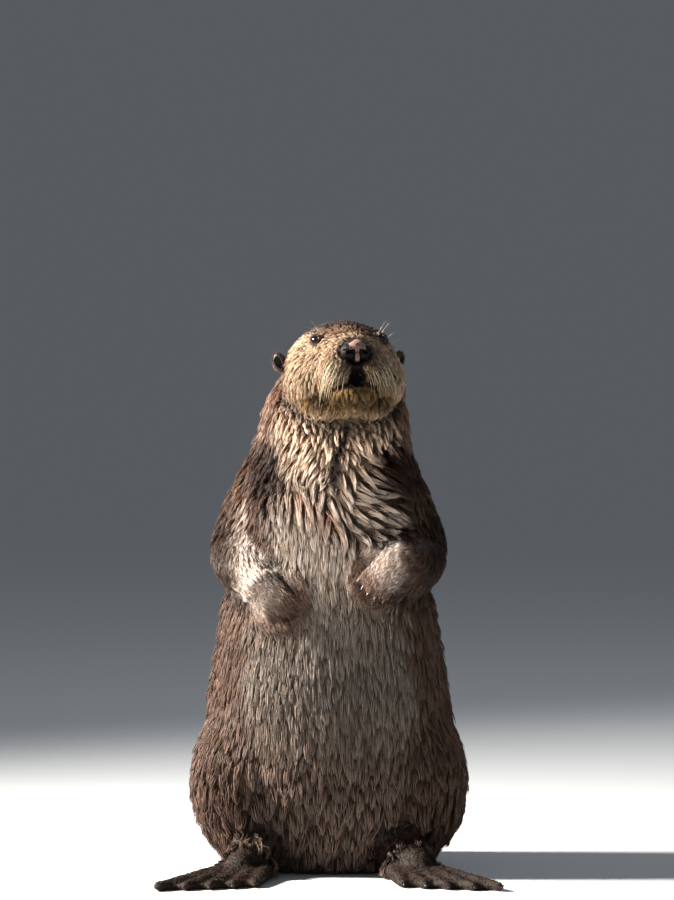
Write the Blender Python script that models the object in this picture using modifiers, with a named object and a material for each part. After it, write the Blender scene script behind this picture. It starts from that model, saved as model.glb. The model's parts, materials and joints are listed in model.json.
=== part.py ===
"""A sea otter sitting upright, life size, as a still model.

Units are metres, +Z is up and the otter faces -Y, so its right side is at -X. The origin is the
middle of the flat under the rump that it sits on. The soft forms are gathered into one mesh,
melted together by a voxel remesh, and the body is then parted along thin cuts into the pieces
that a person would name. Ears, eyes, nose, paws, flippers and tail are made one by one, and each
is trimmed to leave a thin gap where it meets its neighbour.
"""

import math

import bmesh
import bpy
from mathutils import Matrix, Vector

SIDES = ("left", "right")  # the otter's own left is at +X

# ---------------------------------------------------------------- driving sizes
GAP = 0.0003  # clearance between neighbouring solids
RIM_GAP = 0.0008  # the same where a neighbour's edge is a sharp rim
SLEEVE = 0.008  # how far a limb's parting cut stands outside the limb itself

HEAD_CENTRE = Vector((0.012, -0.022, 0.624))  # midway between the ears
HEAD_TURN = math.radians(10)  # towards the otter's left
HEAD_LIFT = math.radians(17)  # chin up

# Places on the head: sideways, forward and up from HEAD_CENTRE, in the head's own frame.
EYE_RADIUS = 0.0085
EYE_PLACE = (0.0385, 0.0760, 0.0055)
NOSE_PLACE = (0.0, 0.1220, -0.0160)
NOSE_HALF_WIDTH = 0.0195
EAR_PLACE = (0.0735, -0.004, 0.000)
EAR_HALF_LENGTH = 0.0140
MOUTH_PLACE = (0.0, 0.1180, -0.0480)
MOUTH_HALF_WIDTH = 0.0080

PAW_LENGTH = 0.064
PAW_HALF_WIDTH = 0.0235
WRIST_OVERLAP = 0.006  # the wrist's cut lies this far beyond its joint
CLAW_LENGTH = 0.0095
FLIPPER_LENGTH = 0.185  # ankle to the tip of the outer, longest toe
TOE_RADIUS = 0.0085
INSTEP_WIDTH = 0.044  # across the roots of the toes
TOES = 5
TAIL_ROOT = ((0.0, 0.104, 0.082), (0.108, 0.086, 0.086))  # centre and radii of the rump's swell
TAIL_LENGTH = 0.280
TAIL_HALF_WIDTH = 0.034
TAIL_FLATNESS = 0.55  # thickness over width

# Fineness: the remesh step and how many triangles are kept of what it makes.
BODY_VOXEL, BODY_TRIANGLES = 0.006, 1400
HEAD_VOXEL, HEAD_TRIANGLES = 0.003, 4300  # of the whole body, most of it cut away
SMALL_VOXEL, PAW_TRIANGLES, FLIPPER_TRIANGLES = 0.0022, 320, 600
TAIL_TRIANGLES, NOSE_TRIANGLES, EAR_TRIANGLES = 260, 260, 140

# The trunk and neck, from the seat up: height, middle, half width, front and back.
TRUNK = (
    (-0.014, 0.000, 0.050, -0.040, 0.070),
    (0.000, 0.000, 0.088, -0.078, 0.118),
    (0.030, 0.000, 0.126, -0.114, 0.152),
    (0.080, 0.000, 0.148, -0.141, 0.172),
    (0.140, 0.000, 0.154, -0.153, 0.178),
    (0.210, 0.000, 0.149, -0.156, 0.172),
    (0.290, 0.000, 0.136, -0.146, 0.157),
    (0.370, 0.000, 0.122, -0.130, 0.138),
    (0.440, 0.001, 0.112, -0.118, 0.117),
    (0.490, 0.002, 0.103, -0.108, 0.098),
    (0.535, 0.006, 0.093, -0.099, 0.079),
    (0.575, 0.010, 0.085, -0.090, 0.063),
    (0.612, 0.012, 0.070, -0.070, 0.047),
)
TRUNK_POWER = 2.25  # how square a section is: 2 is an ellipse

# The head, from the nape forward: forward, half width, top, widest level and underside.
HEAD = (
    (-0.064, 0.024, 0.012, -0.006, -0.028),
    (-0.048, 0.048, 0.030, -0.008, -0.058),
    (-0.018, 0.065, 0.0425, -0.013, -0.076),
    (0.015, 0.0685, 0.0445, -0.016, -0.082),
    (0.045, 0.0655, 0.0395, -0.020, -0.082),
    (0.070, 0.057, 0.0290, -0.024, -0.078),
    (0.092, 0.0465, 0.0165, -0.028, -0.072),
    (0.109, 0.038, 0.0050, -0.032, -0.066),
    (0.120, 0.028, -0.0040, -0.034, -0.056),
)
HEAD_POWER = 2.0

# An arm: shoulder, mid upper arm, elbow, mid forearm and wrist, each x, y, z and radius.
ARMS = {
    "left": ((0.063, 0.010, 0.486, 0.046), (0.090, 0.006, 0.432, 0.045),
             (0.107, -0.006, 0.384, 0.042), (0.109, -0.070, 0.376, 0.034),
             (0.089, -0.118, 0.390, 0.026)),
    "right": ((-0.060, 0.010, 0.486, 0.046), (-0.088, 0.006, 0.434, 0.045),
              (-0.108, -0.008, 0.388, 0.042), (-0.111, -0.074, 0.377, 0.035),
              (-0.092, -0.124, 0.362, 0.027)),
}
ELBOW = 2  # the arm's row where the upper arm ends
PAW_AIMS = {"left": Vector((-0.62, -0.42, -0.60)), "right": Vector((0.66, -0.34, -0.62))}

THIGH_CENTRE = Vector((0.090, -0.014, 0.112))
THIGH_RADII = (0.080, 0.122, 0.108)
THIGH_TURN = math.radians(14)  # the knees point a little outwards
ANKLE = Vector((0.098, -0.122, 0.023))
FLIPPER_TURN = math.radians(18)  # and the flippers more
TOE_SPREAD = math.radians(11)  # outermost toe to the flipper's own middle line
INNER_TOE = 0.66  # the innermost toe's length over the outermost's

# Colour and roughness of the wet coat and of the bare parts.
LOOKS = {
    "head": ((0.42, 0.31, 0.19), 0.50),
    "neck": ((0.34, 0.25, 0.18), 0.45),
    "trunk": ((0.23, 0.16, 0.115), 0.42),
    "upper_arm": ((0.105, 0.058, 0.038), 0.40),
    "forearm": ((0.125, 0.075, 0.050), 0.40),
    "paw": ((0.075, 0.050, 0.038), 0.50),
    "thigh": ((0.095, 0.055, 0.038), 0.42),
    "flipper": ((0.060, 0.038, 0.028), 0.50),
    "tail": ((0.075, 0.043, 0.030), 0.42),
    "ear": ((0.110, 0.072, 0.048), 0.55),
    "eye": ((0.012, 0.008, 0.006), 0.06),
    "nose": ((0.060, 0.030, 0.030), 0.38),
}
SHARP = math.radians(50)  # edges sharper than this are cuts

NECK_CUT = (Vector((0.006, 0.0, 0.522)), Vector((0.04, 0.18, 1.0)))  # point and normal
HEAD_CUT = (0.040, -0.082, -0.056, 0.016)  # forward, up under the jaw, then the same at the nape


# ---------------------------------------------------------------- scene helpers
def clear_scene():
    for obj in list(bpy.data.objects):
        bpy.data.objects.remove(obj, do_unlink=True)


def new_collection(name):
    collection = bpy.data.collections.new(name)
    bpy.context.scene.collection.children.link(collection)
    return collection


def new_material(name, colour, roughness):
    material = bpy.data.materials.new(name)
    material.use_nodes = True
    shader = material.node_tree.nodes["Principled BSDF"]
    shader.inputs["Base Color"].default_value = (*colour, 1.0)
    shader.inputs["Roughness"].default_value = roughness
    return material


def new_object(name, bm_or_mesh, collection):
    mesh = bm_or_mesh
    if isinstance(bm_or_mesh, bmesh.types.BMesh):
        bmesh.ops.recalc_face_normals(bm_or_mesh, faces=bm_or_mesh.faces)
        mesh = bpy.data.meshes.new(name)
        bm_or_mesh.to_mesh(mesh)
        bm_or_mesh.free()
    obj = bpy.data.objects.new(name, mesh)
    collection.objects.link(obj)
    return obj


def discard(*objects):
    for obj in objects:
        bpy.data.objects.remove(obj, do_unlink=True)


def settle(obj):
    """Replaces obj's mesh by the result of its modifiers, and drops them."""
    graph = bpy.context.evaluated_depsgraph_get()
    mesh = bpy.data.meshes.new_from_object(obj.evaluated_get(graph))
    obj.modifiers.clear()
    obj.data = mesh
    return obj


# ---------------------------------------------------------------- soft forms
def add_ellipsoid(bm, centre, radii, frame=None, tilt=0.0, segments=32):
    """An ellipsoid in the given frame, tipped about the frame's sideways axis."""
    place = (frame or Matrix.Identity(4)) @ Matrix.Translation(Vector(centre))
    place = place @ Matrix.Rotation(tilt, 4, "X") @ Matrix.Diagonal((*radii, 1.0))
    bmesh.ops.create_uvsphere(
        bm, u_segments=segments, v_segments=segments // 2, radius=1.0, matrix=place
    )


def smooth_rows(rows, steps=4):
    """Rows of numbers read from a Catmull-Rom curve through the given rows."""
    keys = [list(row) for row in rows]
    first = [2 * a - b for a, b in zip(keys[0], keys[1])]
    last = [2 * a - b for a, b in zip(keys[-1], keys[-2])]
    keys = [first, *keys, last]
    found = []
    for four in zip(keys, keys[1:], keys[2:], keys[3:]):
        for step in range(steps):
            t = step / steps
            found.append([
                0.5 * (2 * b + (c - a) * t + (2 * a - 5 * b + 4 * c - d) * t**2
                       + (3 * b - a - 3 * c + d) * t**3)
                for a, b, c, d in zip(*four)
            ])
    return [*found, keys[-2]]


def egg_ring(frame, half_width, ahead, behind, power=2.0, sides=48):
    """A rounded outline in the frame's XY plane, deeper ahead (+Y) or behind as asked."""
    ring = []
    for i in range(sides):
        angle = 2 * math.pi * i / sides
        c, s = math.cos(angle), math.sin(angle)
        x = half_width * math.copysign(abs(c) ** (2 / power), c)
        y = (ahead if s > 0 else behind) * math.copysign(abs(s) ** (2 / power), s)
        ring.append(frame @ Vector((x, y, 0.0)))
    return ring


def add_loft(bm, rings):
    """Skins rings of equal count and closes both ends."""
    made = [[bm.verts.new(point) for point in ring] for ring in rings]
    for low, high in zip(made, made[1:]):
        for i in range(len(low)):
            j = (i + 1) % len(low)
            bm.faces.new((low[i], low[j], high[j], high[i]))
    bm.faces.new(list(reversed(made[0])))
    bm.faces.new(made[-1])


def add_tube(bm, points):
    """A round limb: each point is x, y, z and the radius there. Its ends are rounded."""
    curve = bpy.data.curves.new("limb", "CURVE")
    curve.dimensions = "3D"
    curve.bevel_depth = 1.0
    curve.bevel_resolution = 4
    curve.use_fill_caps = True
    rows = smooth_rows(points)
    spline = curve.splines.new("POLY")
    spline.points.add(len(rows) - 1)
    for point, (x, y, z, radius) in zip(spline.points, rows):
        point.co = (x, y, z, 1.0)
        point.radius = radius
    guide = bpy.data.objects.new("limb", curve)
    bpy.context.scene.collection.objects.link(guide)
    graph = bpy.context.evaluated_depsgraph_get()
    bm.from_mesh(bpy.data.meshes.new_from_object(guide.evaluated_get(graph)))
    bpy.data.objects.remove(guide, do_unlink=True)
    bmesh.ops.remove_doubles(bm, verts=bm.verts, dist=1e-6)
    for x, y, z, radius in (points[0], points[-1]):
        add_ellipsoid(bm, (x, y, z), (radius, radius, radius), segments=16)


def melt(bm, name, collection, voxel, smoothing, triangles):
    """Melts overlapping forms into one closed surface with about that many triangles."""
    obj = new_object(name, bm, collection)
    remesh = obj.modifiers.new("melt", "REMESH")
    remesh.mode = "VOXEL"
    remesh.voxel_size = voxel
    smooth = obj.modifiers.new("soften", "SMOOTH")
    smooth.factor = 0.5
    smooth.iterations = smoothing
    settle(obj)
    thin = obj.modifiers.new("thin", "DECIMATE")
    thin.ratio = min(1.0, triangles / (2 * len(obj.data.polygons)))
    return settle(obj)


# ---------------------------------------------------------------- cutting
def boolean(obj, other, operation):
    modifier = obj.modifiers.new(operation.lower(), "BOOLEAN")
    modifier.object = other
    modifier.operation = operation
    return settle(obj)


def grown(obj, by=GAP):
    """A copy of obj with its surface moved outwards."""
    copy = new_object(obj.name + "_grown", obj.data.copy(), obj.users_collection[0])
    displace = copy.modifiers.new("grow", "DISPLACE")
    displace.strength = by
    displace.mid_level = 0.0
    return settle(copy)


def trim(obj, *neighbours, clear=GAP):
    """Cuts obj back from its neighbours, leaving the clearance."""
    for neighbour in neighbours:
        cutter = grown(neighbour, clear)
        boolean(obj, cutter, "DIFFERENCE")
        discard(cutter)
    return obj


def keep_side(obj, point, normal, size=1.6):
    """Keeps what of obj lies on the normal's side of the plane."""
    bm = bmesh.new()
    bmesh.ops.create_cube(bm, size=size)
    normal = Vector(normal).normalized()
    turn = normal.to_track_quat("Z", "Y").to_matrix().to_4x4()
    middle = Vector(point) + normal * size / 2
    bmesh.ops.transform(bm, matrix=Matrix.Translation(middle) @ turn, verts=bm.verts)
    box = new_object("side", bm, obj.users_collection[0])
    boolean(obj, box, "INTERSECT")
    discard(box)
    return obj


def split(obj, name, point, normal):
    """Parts obj along a plane with a gap between. What is on the normal's side takes the name."""
    normal = Vector(normal).normalized()
    far = new_object(name, obj.data.copy(), obj.users_collection[0])
    keep_side(far, Vector(point) + normal * GAP / 2, normal)
    keep_side(obj, Vector(point) - normal * GAP / 2, -normal)
    return far


def take_out(obj, region, name):
    """Takes what lies inside region out of obj as a new object, leaving the gap."""
    taken = new_object(name, obj.data.copy(), obj.users_collection[0])
    boolean(taken, region, "INTERSECT")
    trim(obj, region)
    discard(region)
    return taken


# ---------------------------------------------------------------- head, trunk and limbs
def head_frame():
    return (Matrix.Translation(HEAD_CENTRE)
            @ Matrix.Rotation(HEAD_TURN, 4, "Z")
            @ Matrix.Rotation(-HEAD_LIFT, 4, "X"))


def on_head(sideways, forward, up):
    """A point given from the middle of the head, in the head's own frame."""
    return Vector((sideways, -forward, up))


def add_head(bm):
    frame = head_frame()
    facing = Matrix.Rotation(math.pi / 2, 4, "X")  # a ring's +Y becomes up
    rings = []
    for forward, half_width, top, widest, under in smooth_rows(HEAD):
        place = frame @ Matrix.Translation(on_head(0, forward, widest)) @ facing
        rings.append(egg_ring(place, half_width, top - widest, widest - under, HEAD_POWER))
    add_loft(bm, rings)
    for side in (-1, 1):

        def lump(sideways, forward, up, *radii, tilt=0.0):
            add_ellipsoid(bm, on_head(side * sideways, forward, up), radii, frame, tilt)

        lump(0.0210, 0.1045, -0.0365, 0.0245, 0.0240, 0.0220)  # whisker pad
        lump(0.0320, 0.0600, 0.0140, 0.0180, 0.0240, 0.0120, tilt=0.45)  # brow
        lump(0.0395, 0.0300, -0.0380, 0.0350, 0.0520, 0.0390)  # cheek
    add_ellipsoid(bm, on_head(0, 0.090, -0.062), (0.033, 0.028, 0.0175), frame)  # chin
    add_ellipsoid(bm, on_head(0, 0.030, -0.070), (0.058, 0.046, 0.026), frame)  # throat


def add_trunk(bm):
    rings = []
    for height, middle, half_width, front, back in smooth_rows(TRUNK):
        place = Matrix.Translation((middle, 0.0, height))
        rings.append(egg_ring(place, half_width, back, -front, TRUNK_POWER))
    add_loft(bm, rings)
    add_ellipsoid(bm, *TAIL_ROOT)


def add_arm(bm, side, more=0.0):
    add_tube(bm, [(x, y, z, radius + more) for x, y, z, radius in ARMS[side]])


def sign(side):
    return 1 if side == "left" else -1


def beside(point, side):
    """A point given for the left side, on the side asked for."""
    return Vector((point[0] * sign(side), point[1], point[2]))


def add_thigh(bm, side, more=0.0, segments=32):
    frame = Matrix.Translation(beside(THIGH_CENTRE, side))
    frame = frame @ Matrix.Rotation(THIGH_TURN * sign(side), 4, "Z")
    radii = [radius + more for radius in THIGH_RADII]
    add_ellipsoid(bm, (0, 0, 0), radii, frame, segments=segments)


def make_flesh(name, collection, voxel, smoothing, triangles):
    """The whole body but for paws, flippers, tail, ears, eyes and nose, cut flat to sit on."""
    bm = bmesh.new()
    add_trunk(bm)
    add_head(bm)
    for side in SIDES:
        add_arm(bm, side)
        add_thigh(bm, side)
    flesh = melt(bm, name, collection, voxel, smoothing, triangles)
    return keep_side(flesh, (0, 0, 0), (0, 0, 1))


def part_body(trunk, tools):
    """Parts arms, thighs and neck from the trunk, which keeps its name."""
    for side in SIDES:
        bm = bmesh.new()
        add_arm(bm, side, more=SLEEVE)
        sleeve = melt(bm, "arm_sleeve", tools, BODY_VOXEL, 2, 240)
        point, normal = wrist_cut(side)
        keep_side(sleeve, point - normal.normalized() * GAP / 2, -normal)
        forearm = take_out(trunk, sleeve, f"forearm_{side}")
        shoulder, elbow, wrist = (Vector(ARMS[side][i][:3]) for i in (0, ELBOW, -1))
        across = (wrist - elbow).normalized() + (elbow - shoulder).normalized()
        split(forearm, f"upper_arm_{side}", elbow, -across)
        bm = bmesh.new()
        add_thigh(bm, side, more=SLEEVE, segments=18)
        take_out(trunk, new_object("thigh_sleeve", bm, tools), f"thigh_{side}")
    split(trunk, "neck", *NECK_CUT)


def head_cut():
    """The plane between head and neck: a point on it and its normal, pointing to the head."""
    frame = head_frame()
    under = frame @ on_head(0, HEAD_CUT[0], HEAD_CUT[1])
    nape = frame @ on_head(0, HEAD_CUT[2], HEAD_CUT[3])
    sideways = frame.to_3x3() @ Vector((1, 0, 0))
    return under, (nape - under).cross(sideways) * -1


# ---------------------------------------------------------------- small parts
def make_eye(side, model):
    bm = bmesh.new()
    sideways, forward, up = EYE_PLACE
    centre = head_frame() @ on_head(sign(side) * sideways, forward, up)
    bmesh.ops.create_uvsphere(
        bm, u_segments=12, v_segments=7, radius=EYE_RADIUS, matrix=Matrix.Translation(centre)
    )
    return new_object(f"eye_{side}", bm, model)


def make_nose(model):
    """A broad pad with two nostrils, standing on the front of the muzzle."""
    frame = head_frame() @ Matrix.Translation(on_head(*NOSE_PLACE))
    bm = bmesh.new()
    wide = NOSE_HALF_WIDTH
    add_ellipsoid(bm, (0, 0.004, 0.0035), (wide * 0.84, wide * 0.66, wide * 0.58), frame)
    for side in (-1, 1):
        add_ellipsoid(bm, (side * wide * 0.50, 0.003, -0.0015),
                      (wide * 0.50, wide * 0.62, wide * 0.54), frame)
    add_ellipsoid(bm, (0, 0.003, -wide * 0.42), (wide * 0.34, wide * 0.58, wide * 0.42), frame)
    nose = melt(bm, "nose", model, 0.0012, 5, NOSE_TRIANGLES)
    for side in (-1, 1):
        bm = bmesh.new()
        add_ellipsoid(bm, (side * wide * 0.50, -wide * 0.50, -wide * 0.30),
                      (wide * 0.28, wide * 0.42, wide * 0.18), frame, segments=8)
        nostril = new_object("nostril", bm, model)
        boolean(nose, nostril, "DIFFERENCE")
        discard(nostril)
    return nose


def make_ear(side, model):
    """A small thick leaf, curled into a shallow cup that opens forwards and out."""
    long = EAR_HALF_LENGTH
    frame = head_frame() @ Matrix.Translation(on_head(sign(side) * EAR_PLACE[0], *EAR_PLACE[1:]))
    frame = frame @ Matrix.Rotation(sign(side) * 0.40, 4, "Y") @ Matrix.Rotation(0.45, 4, "X")
    bm = bmesh.new()
    add_ellipsoid(bm, (0, 0, -long * 0.12), (long * 0.60, long * 0.56, long * 0.88), frame)
    add_ellipsoid(bm, (0, 0, long * 0.42), (long * 0.36, long * 0.34, long * 0.58), frame)
    ear = melt(bm, f"ear_{side}", model, 0.0014, 3, EAR_TRIANGLES)
    bm = bmesh.new()
    add_ellipsoid(bm, (sign(side) * long * 0.18, -long * 0.60, -long * 0.02),
                  (long * 0.30, long * 0.50, long * 0.56), frame, segments=10)
    cup = new_object("cup", bm, model)
    boolean(ear, cup, "DIFFERENCE")
    discard(cup)
    return ear


def aimed(origin, forward, up):
    """A frame at origin whose -Y looks forward and whose +Z is as near up as can be."""
    back = -Vector(forward).normalized()
    sideways = back.cross(Vector(up)).normalized()
    rotation = Matrix((sideways, back, sideways.cross(back))).transposed()
    return Matrix.Translation(origin) @ rotation.to_4x4()


def wrist_cut(side):
    """The plane between forearm and paw: a point on it and its normal, towards the fingers."""
    before, wrist = (Vector(row[:3]) for row in ARMS[side][-2:])
    normal = (wrist - before).normalized() + PAW_AIMS[side].normalized()
    return wrist + normal.normalized() * WRIST_OVERLAP, normal


def make_paw(side, model):
    """A mitten of a palm and five short fingers, palm down on the belly."""
    wrist, radius = Vector(ARMS[side][-1][:3]), ARMS[side][-1][3]
    frame = aimed(wrist, PAW_AIMS[side], (0, -1, 0.35))
    bm = bmesh.new()
    wide, long = PAW_HALF_WIDTH, PAW_LENGTH
    palm = frame @ Vector((0, -long * 0.34, 0))
    add_tube(bm, [(*wrist, radius), (*palm, radius * 0.72)])
    add_ellipsoid(bm, (0, -long * 0.38, 0), (wide, long * 0.44, wide * 0.66), frame)
    for finger in range(5):
        share = (finger - 2) / 2
        root = frame @ Vector((share * wide * 0.62, -long * 0.50, 0.001))
        tip = frame @ Vector((share * wide * 0.80, -long * (0.90 - 0.09 * share**2), -0.003))
        middle = (root + tip) / 2
        add_tube(bm, [(*root, 0.0066), (*middle, 0.0066), (*tip, 0.0056)])
        claw = tip + (tip - root).normalized() * CLAW_LENGTH
        add_tube(bm, [(*tip, 0.0034), (*claw, 0.0022)])
    paw = melt(bm, f"paw_{side}", model, SMALL_VOXEL, 3, PAW_TRIANGLES)
    point, normal = wrist_cut(side)
    return keep_side(paw, point + normal.normalized() * GAP / 2, normal)


def toe_line(side, toe):
    """Root, knuckle and tip of a toe lying on the floor; toe 0 is the inner, shortest one."""
    share = toe / (TOES - 1)
    outward = FLIPPER_TURN + TOE_SPREAD * (2 * share - 1)
    length = FLIPPER_LENGTH * (INNER_TOE + (1 - INNER_TOE) * share)
    aim = Vector((math.sin(outward), -math.cos(outward), 0.0))
    root = Vector((ANKLE.x + (share - 0.5) * INSTEP_WIDTH, ANKLE.y - 0.010, 0.012))
    points = (root, root + aim * length * 0.5, root + aim * (length - TOE_RADIUS))
    return [beside(point, side) for point in points]


def make_flipper(side, model):
    """A hind foot: ankle, five toes that lengthen outwards, and the web between them."""
    bm = bmesh.new()
    tips, roots = [], []
    for toe in range(TOES):
        root, knuckle, tip = toe_line(side, toe)
        knuckle.z, tip.z = TOE_RADIUS * 0.98, TOE_RADIUS * 0.72
        add_tube(bm, [(*root, TOE_RADIUS * 1.25), (*knuckle, TOE_RADIUS),
                      (*tip, TOE_RADIUS * 0.78)])
        claw = tip + (tip - knuckle).normalized() * CLAW_LENGTH
        add_tube(bm, [(*tip, 0.0040), (claw.x, claw.y, 0.0042, 0.0026)])
        roots.append(root)
        tips.append(tip)
    outline = []
    for tip, after in zip(tips, tips[1:] + [None]):
        outline.append(tip)
        if after:
            middle = (tip + after) / 2
            outline.append(middle + (roots[2] - middle) * 0.05)  # the web's edge dips between toes
    web = bpy.data.curves.new("web", "CURVE")
    web.dimensions = "2D"
    web.fill_mode = "BOTH"
    web.extrude = 0.0036
    spline = web.splines.new("POLY")
    corners = [*outline, roots[-1], roots[0]]
    spline.points.add(len(corners) - 1)
    for point, corner in zip(spline.points, corners):
        point.co = (corner.x, corner.y, 0.0, 1.0)
    spline.use_cyclic_u = True
    guide = bpy.data.objects.new("web", web)
    guide.location.z = 0.0042
    bpy.context.scene.collection.objects.link(guide)
    bpy.context.view_layer.update()
    graph = bpy.context.evaluated_depsgraph_get()
    mesh = bpy.data.meshes.new_from_object(guide.evaluated_get(graph))
    mesh.transform(guide.matrix_world)
    bm.from_mesh(mesh)
    bpy.data.objects.remove(guide, do_unlink=True)
    bmesh.ops.remove_doubles(bm, verts=bm.verts, dist=1e-6)
    ankle = beside(ANKLE, side)
    heel = ankle + Vector((-0.010 * sign(side), 0.060, 0.030))
    instep = ankle + Vector((0.010 * sign(side), -0.036, -0.006))
    add_tube(bm, [(*heel, 0.042), (*ankle, 0.031), (*instep, 0.019)])
    flipper = melt(bm, f"flipper_{side}", model, SMALL_VOXEL, 3, FLIPPER_TRIANGLES)
    return keep_side(flipper, (0, 0, 0), (0, 0, 1))


def make_tail(model):
    """A short, thick tail, flattened from above, laid on the floor behind."""
    bm = bmesh.new()
    rings = []
    rows = smooth_rows((  # share of the length, sideways, height of the middle, width share
        (-0.10, 0.000, 0.048, 1.05),
        (0.15, 0.001, 0.026, 1.00),
        (0.45, 0.000, 0.0165, 0.90),
        (0.75, -0.012, 0.0125, 0.72),
        (0.92, -0.024, 0.0100, 0.48),
        (1.00, -0.031, 0.0085, 0.22),
    ))
    points = [Vector((x, 0.140 + TAIL_LENGTH * share, z)) for share, x, z, _ in rows]
    for i, (point, row) in enumerate(zip(points, rows)):
        along = points[min(i + 1, len(points) - 1)] - points[max(i - 1, 0)]
        turn = along.to_track_quat("Z", "Y").to_matrix().to_4x4()
        half = TAIL_HALF_WIDTH * row[3]
        flat = half * TAIL_FLATNESS
        rings.append(egg_ring(Matrix.Translation(point) @ turn, half, flat, flat, 2.2, 24))
    add_loft(bm, rings)
    tail = melt(bm, "tail", model, 0.004, 3, TAIL_TRIANGLES)
    return keep_side(tail, (0, 0, 0), (0, 0, 1))


def open_mouth(head, model):
    """Hollows the little gap between the upper lips and the chin."""
    bm = bmesh.new()
    add_ellipsoid(bm, on_head(*MOUTH_PLACE), (MOUTH_HALF_WIDTH, 0.018, 0.0110), head_frame(),
                  segments=14)
    gape = new_object("gape", bm, model)
    boolean(head, gape, "DIFFERENCE")
    discard(gape)


def finish(model):
    """Gives each node its own material, and smooth shading but for the cut edges."""
    for obj in model.objects:
        kind = obj.name.removesuffix("_left").removesuffix("_right")
        obj.data.materials.clear()
        obj.data.materials.append(new_material(obj.name, *LOOKS[kind]))
        obj.data.shade_smooth()
        obj.data.set_sharp_from_angle(angle=SHARP)


def main():
    clear_scene()
    tools = new_collection("cutters")
    model = new_collection("sea_otter")

    trunk = make_flesh("trunk", model, BODY_VOXEL, 16, BODY_TRIANGLES)
    head = make_flesh("head", model, HEAD_VOXEL, 18, HEAD_TRIANGLES)
    point, normal = head_cut()
    keep_side(head, point + normal.normalized() * GAP / 2, normal)
    keep_side(trunk, point - normal.normalized() * GAP / 2, -normal)
    part_body(trunk, tools)
    open_mouth(head, model)

    body = bpy.data.objects
    nose = make_nose(model)
    trim(head, nose)
    for side in SIDES:
        trim(head, make_eye(side, model))
        trim(make_ear(side, model), head)
        trim(trunk, make_paw(side, model), clear=RIM_GAP)
        trim(make_flipper(side, model), body[f"thigh_{side}"], trunk, clear=RIM_GAP)
    trim(make_tail(model), trunk, clear=RIM_GAP)
    finish(model)


main()
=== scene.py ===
# %% [markdown]
# # A wet sea otter, sitting up
# A sea otter has no blubber. It keeps warm by the densest coat of any mammal, and when it rises out
# of the water that coat hangs in wet, pointed locks with dark gaps between them. This lesson dresses
# a plain solid otter: one skin over the whole body, bare eyes and nose, and a coat of about ninety
# thousand solid tufts that lie along the body.
#
# Units are metres, +Z is up, the otter faces -Y, and its own left side is at +X.

# %% Load the frame
import json
import math

import bmesh
import bpy
import numpy as np
from mathutils import Matrix, Vector, noise
from mathutils.bvhtree import BVHTree
from mathutils.kdtree import KDTree

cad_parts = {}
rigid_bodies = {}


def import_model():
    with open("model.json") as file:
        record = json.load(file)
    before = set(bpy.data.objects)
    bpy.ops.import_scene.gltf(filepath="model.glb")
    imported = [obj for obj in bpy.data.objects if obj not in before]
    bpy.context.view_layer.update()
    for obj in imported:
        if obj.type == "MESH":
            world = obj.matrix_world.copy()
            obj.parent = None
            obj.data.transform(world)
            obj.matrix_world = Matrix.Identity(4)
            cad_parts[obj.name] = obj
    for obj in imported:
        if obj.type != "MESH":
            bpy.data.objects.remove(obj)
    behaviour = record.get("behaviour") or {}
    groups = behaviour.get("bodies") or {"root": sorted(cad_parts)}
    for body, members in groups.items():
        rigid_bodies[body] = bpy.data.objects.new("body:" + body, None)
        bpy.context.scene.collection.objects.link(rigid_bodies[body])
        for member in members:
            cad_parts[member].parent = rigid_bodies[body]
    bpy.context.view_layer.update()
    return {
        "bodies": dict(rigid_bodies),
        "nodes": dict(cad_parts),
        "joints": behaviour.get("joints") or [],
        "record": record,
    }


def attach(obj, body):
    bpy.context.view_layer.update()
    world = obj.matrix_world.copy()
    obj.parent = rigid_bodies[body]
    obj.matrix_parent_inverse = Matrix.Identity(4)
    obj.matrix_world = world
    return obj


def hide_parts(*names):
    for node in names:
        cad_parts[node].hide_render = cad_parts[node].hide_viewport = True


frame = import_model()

SEED = 7
rng = np.random.default_rng(SEED)
SIDES = {"left": 1, "right": -1}
DOWN = (0.0, 0.0, -1.0)

# %% [markdown]
# ## Places on the body
# The looks need to know where things are: the head's own axes, the eyes, the arms, the feet. They
# could be read off the solids, but naming them once, as the body's maker did, keeps every later rule
# short. The head is turned to the otter's left and its chin is lifted, so it has its own frame.

# %% Name the places
HEAD_CENTRE = Vector((0.012, -0.022, 0.624))
HEAD_TURN = math.radians(10)
HEAD_LIFT = math.radians(17)
EYE_RADIUS = 0.0085
EYE_PLACE = (0.0385, 0.0760, 0.0055)  # sideways, forward and up on the head
NOSE_PLACE = (0.0, 0.1220, -0.0160)
NOSE_HALF_WIDTH = 0.0195
EAR_PLACE = (0.0735, -0.004, 0.000)
MOUTH_PLACE = (0.0, 0.1200, -0.0480)
HEAD_CUT = (0.040, -0.082, -0.056, 0.016)
ARMS = {
    "left": ((0.063, 0.010, 0.486, 0.046), (0.090, 0.006, 0.432, 0.045),
             (0.107, -0.006, 0.384, 0.042), (0.109, -0.070, 0.376, 0.034),
             (0.089, -0.118, 0.390, 0.026)),
    "right": ((-0.060, 0.010, 0.486, 0.046), (-0.088, 0.006, 0.434, 0.045),
              (-0.108, -0.008, 0.388, 0.042), (-0.111, -0.074, 0.377, 0.035),
              (-0.092, -0.124, 0.362, 0.027)),
}
PAW_AIMS = {"left": Vector((-0.62, -0.42, -0.60)), "right": Vector((0.66, -0.34, -0.62))}
PAW_LENGTH = 0.064
PAW_HALF_WIDTH = 0.0235
ANKLE = Vector((0.098, -0.122, 0.023))
FLIPPER_LENGTH = 0.185
FLIPPER_TURN = math.radians(18)
TOE_SPREAD = math.radians(11)
TOE_RADIUS = 0.0085
INSTEP_WIDTH = 0.044
INNER_TOE = 0.66
TOES = 5

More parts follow.
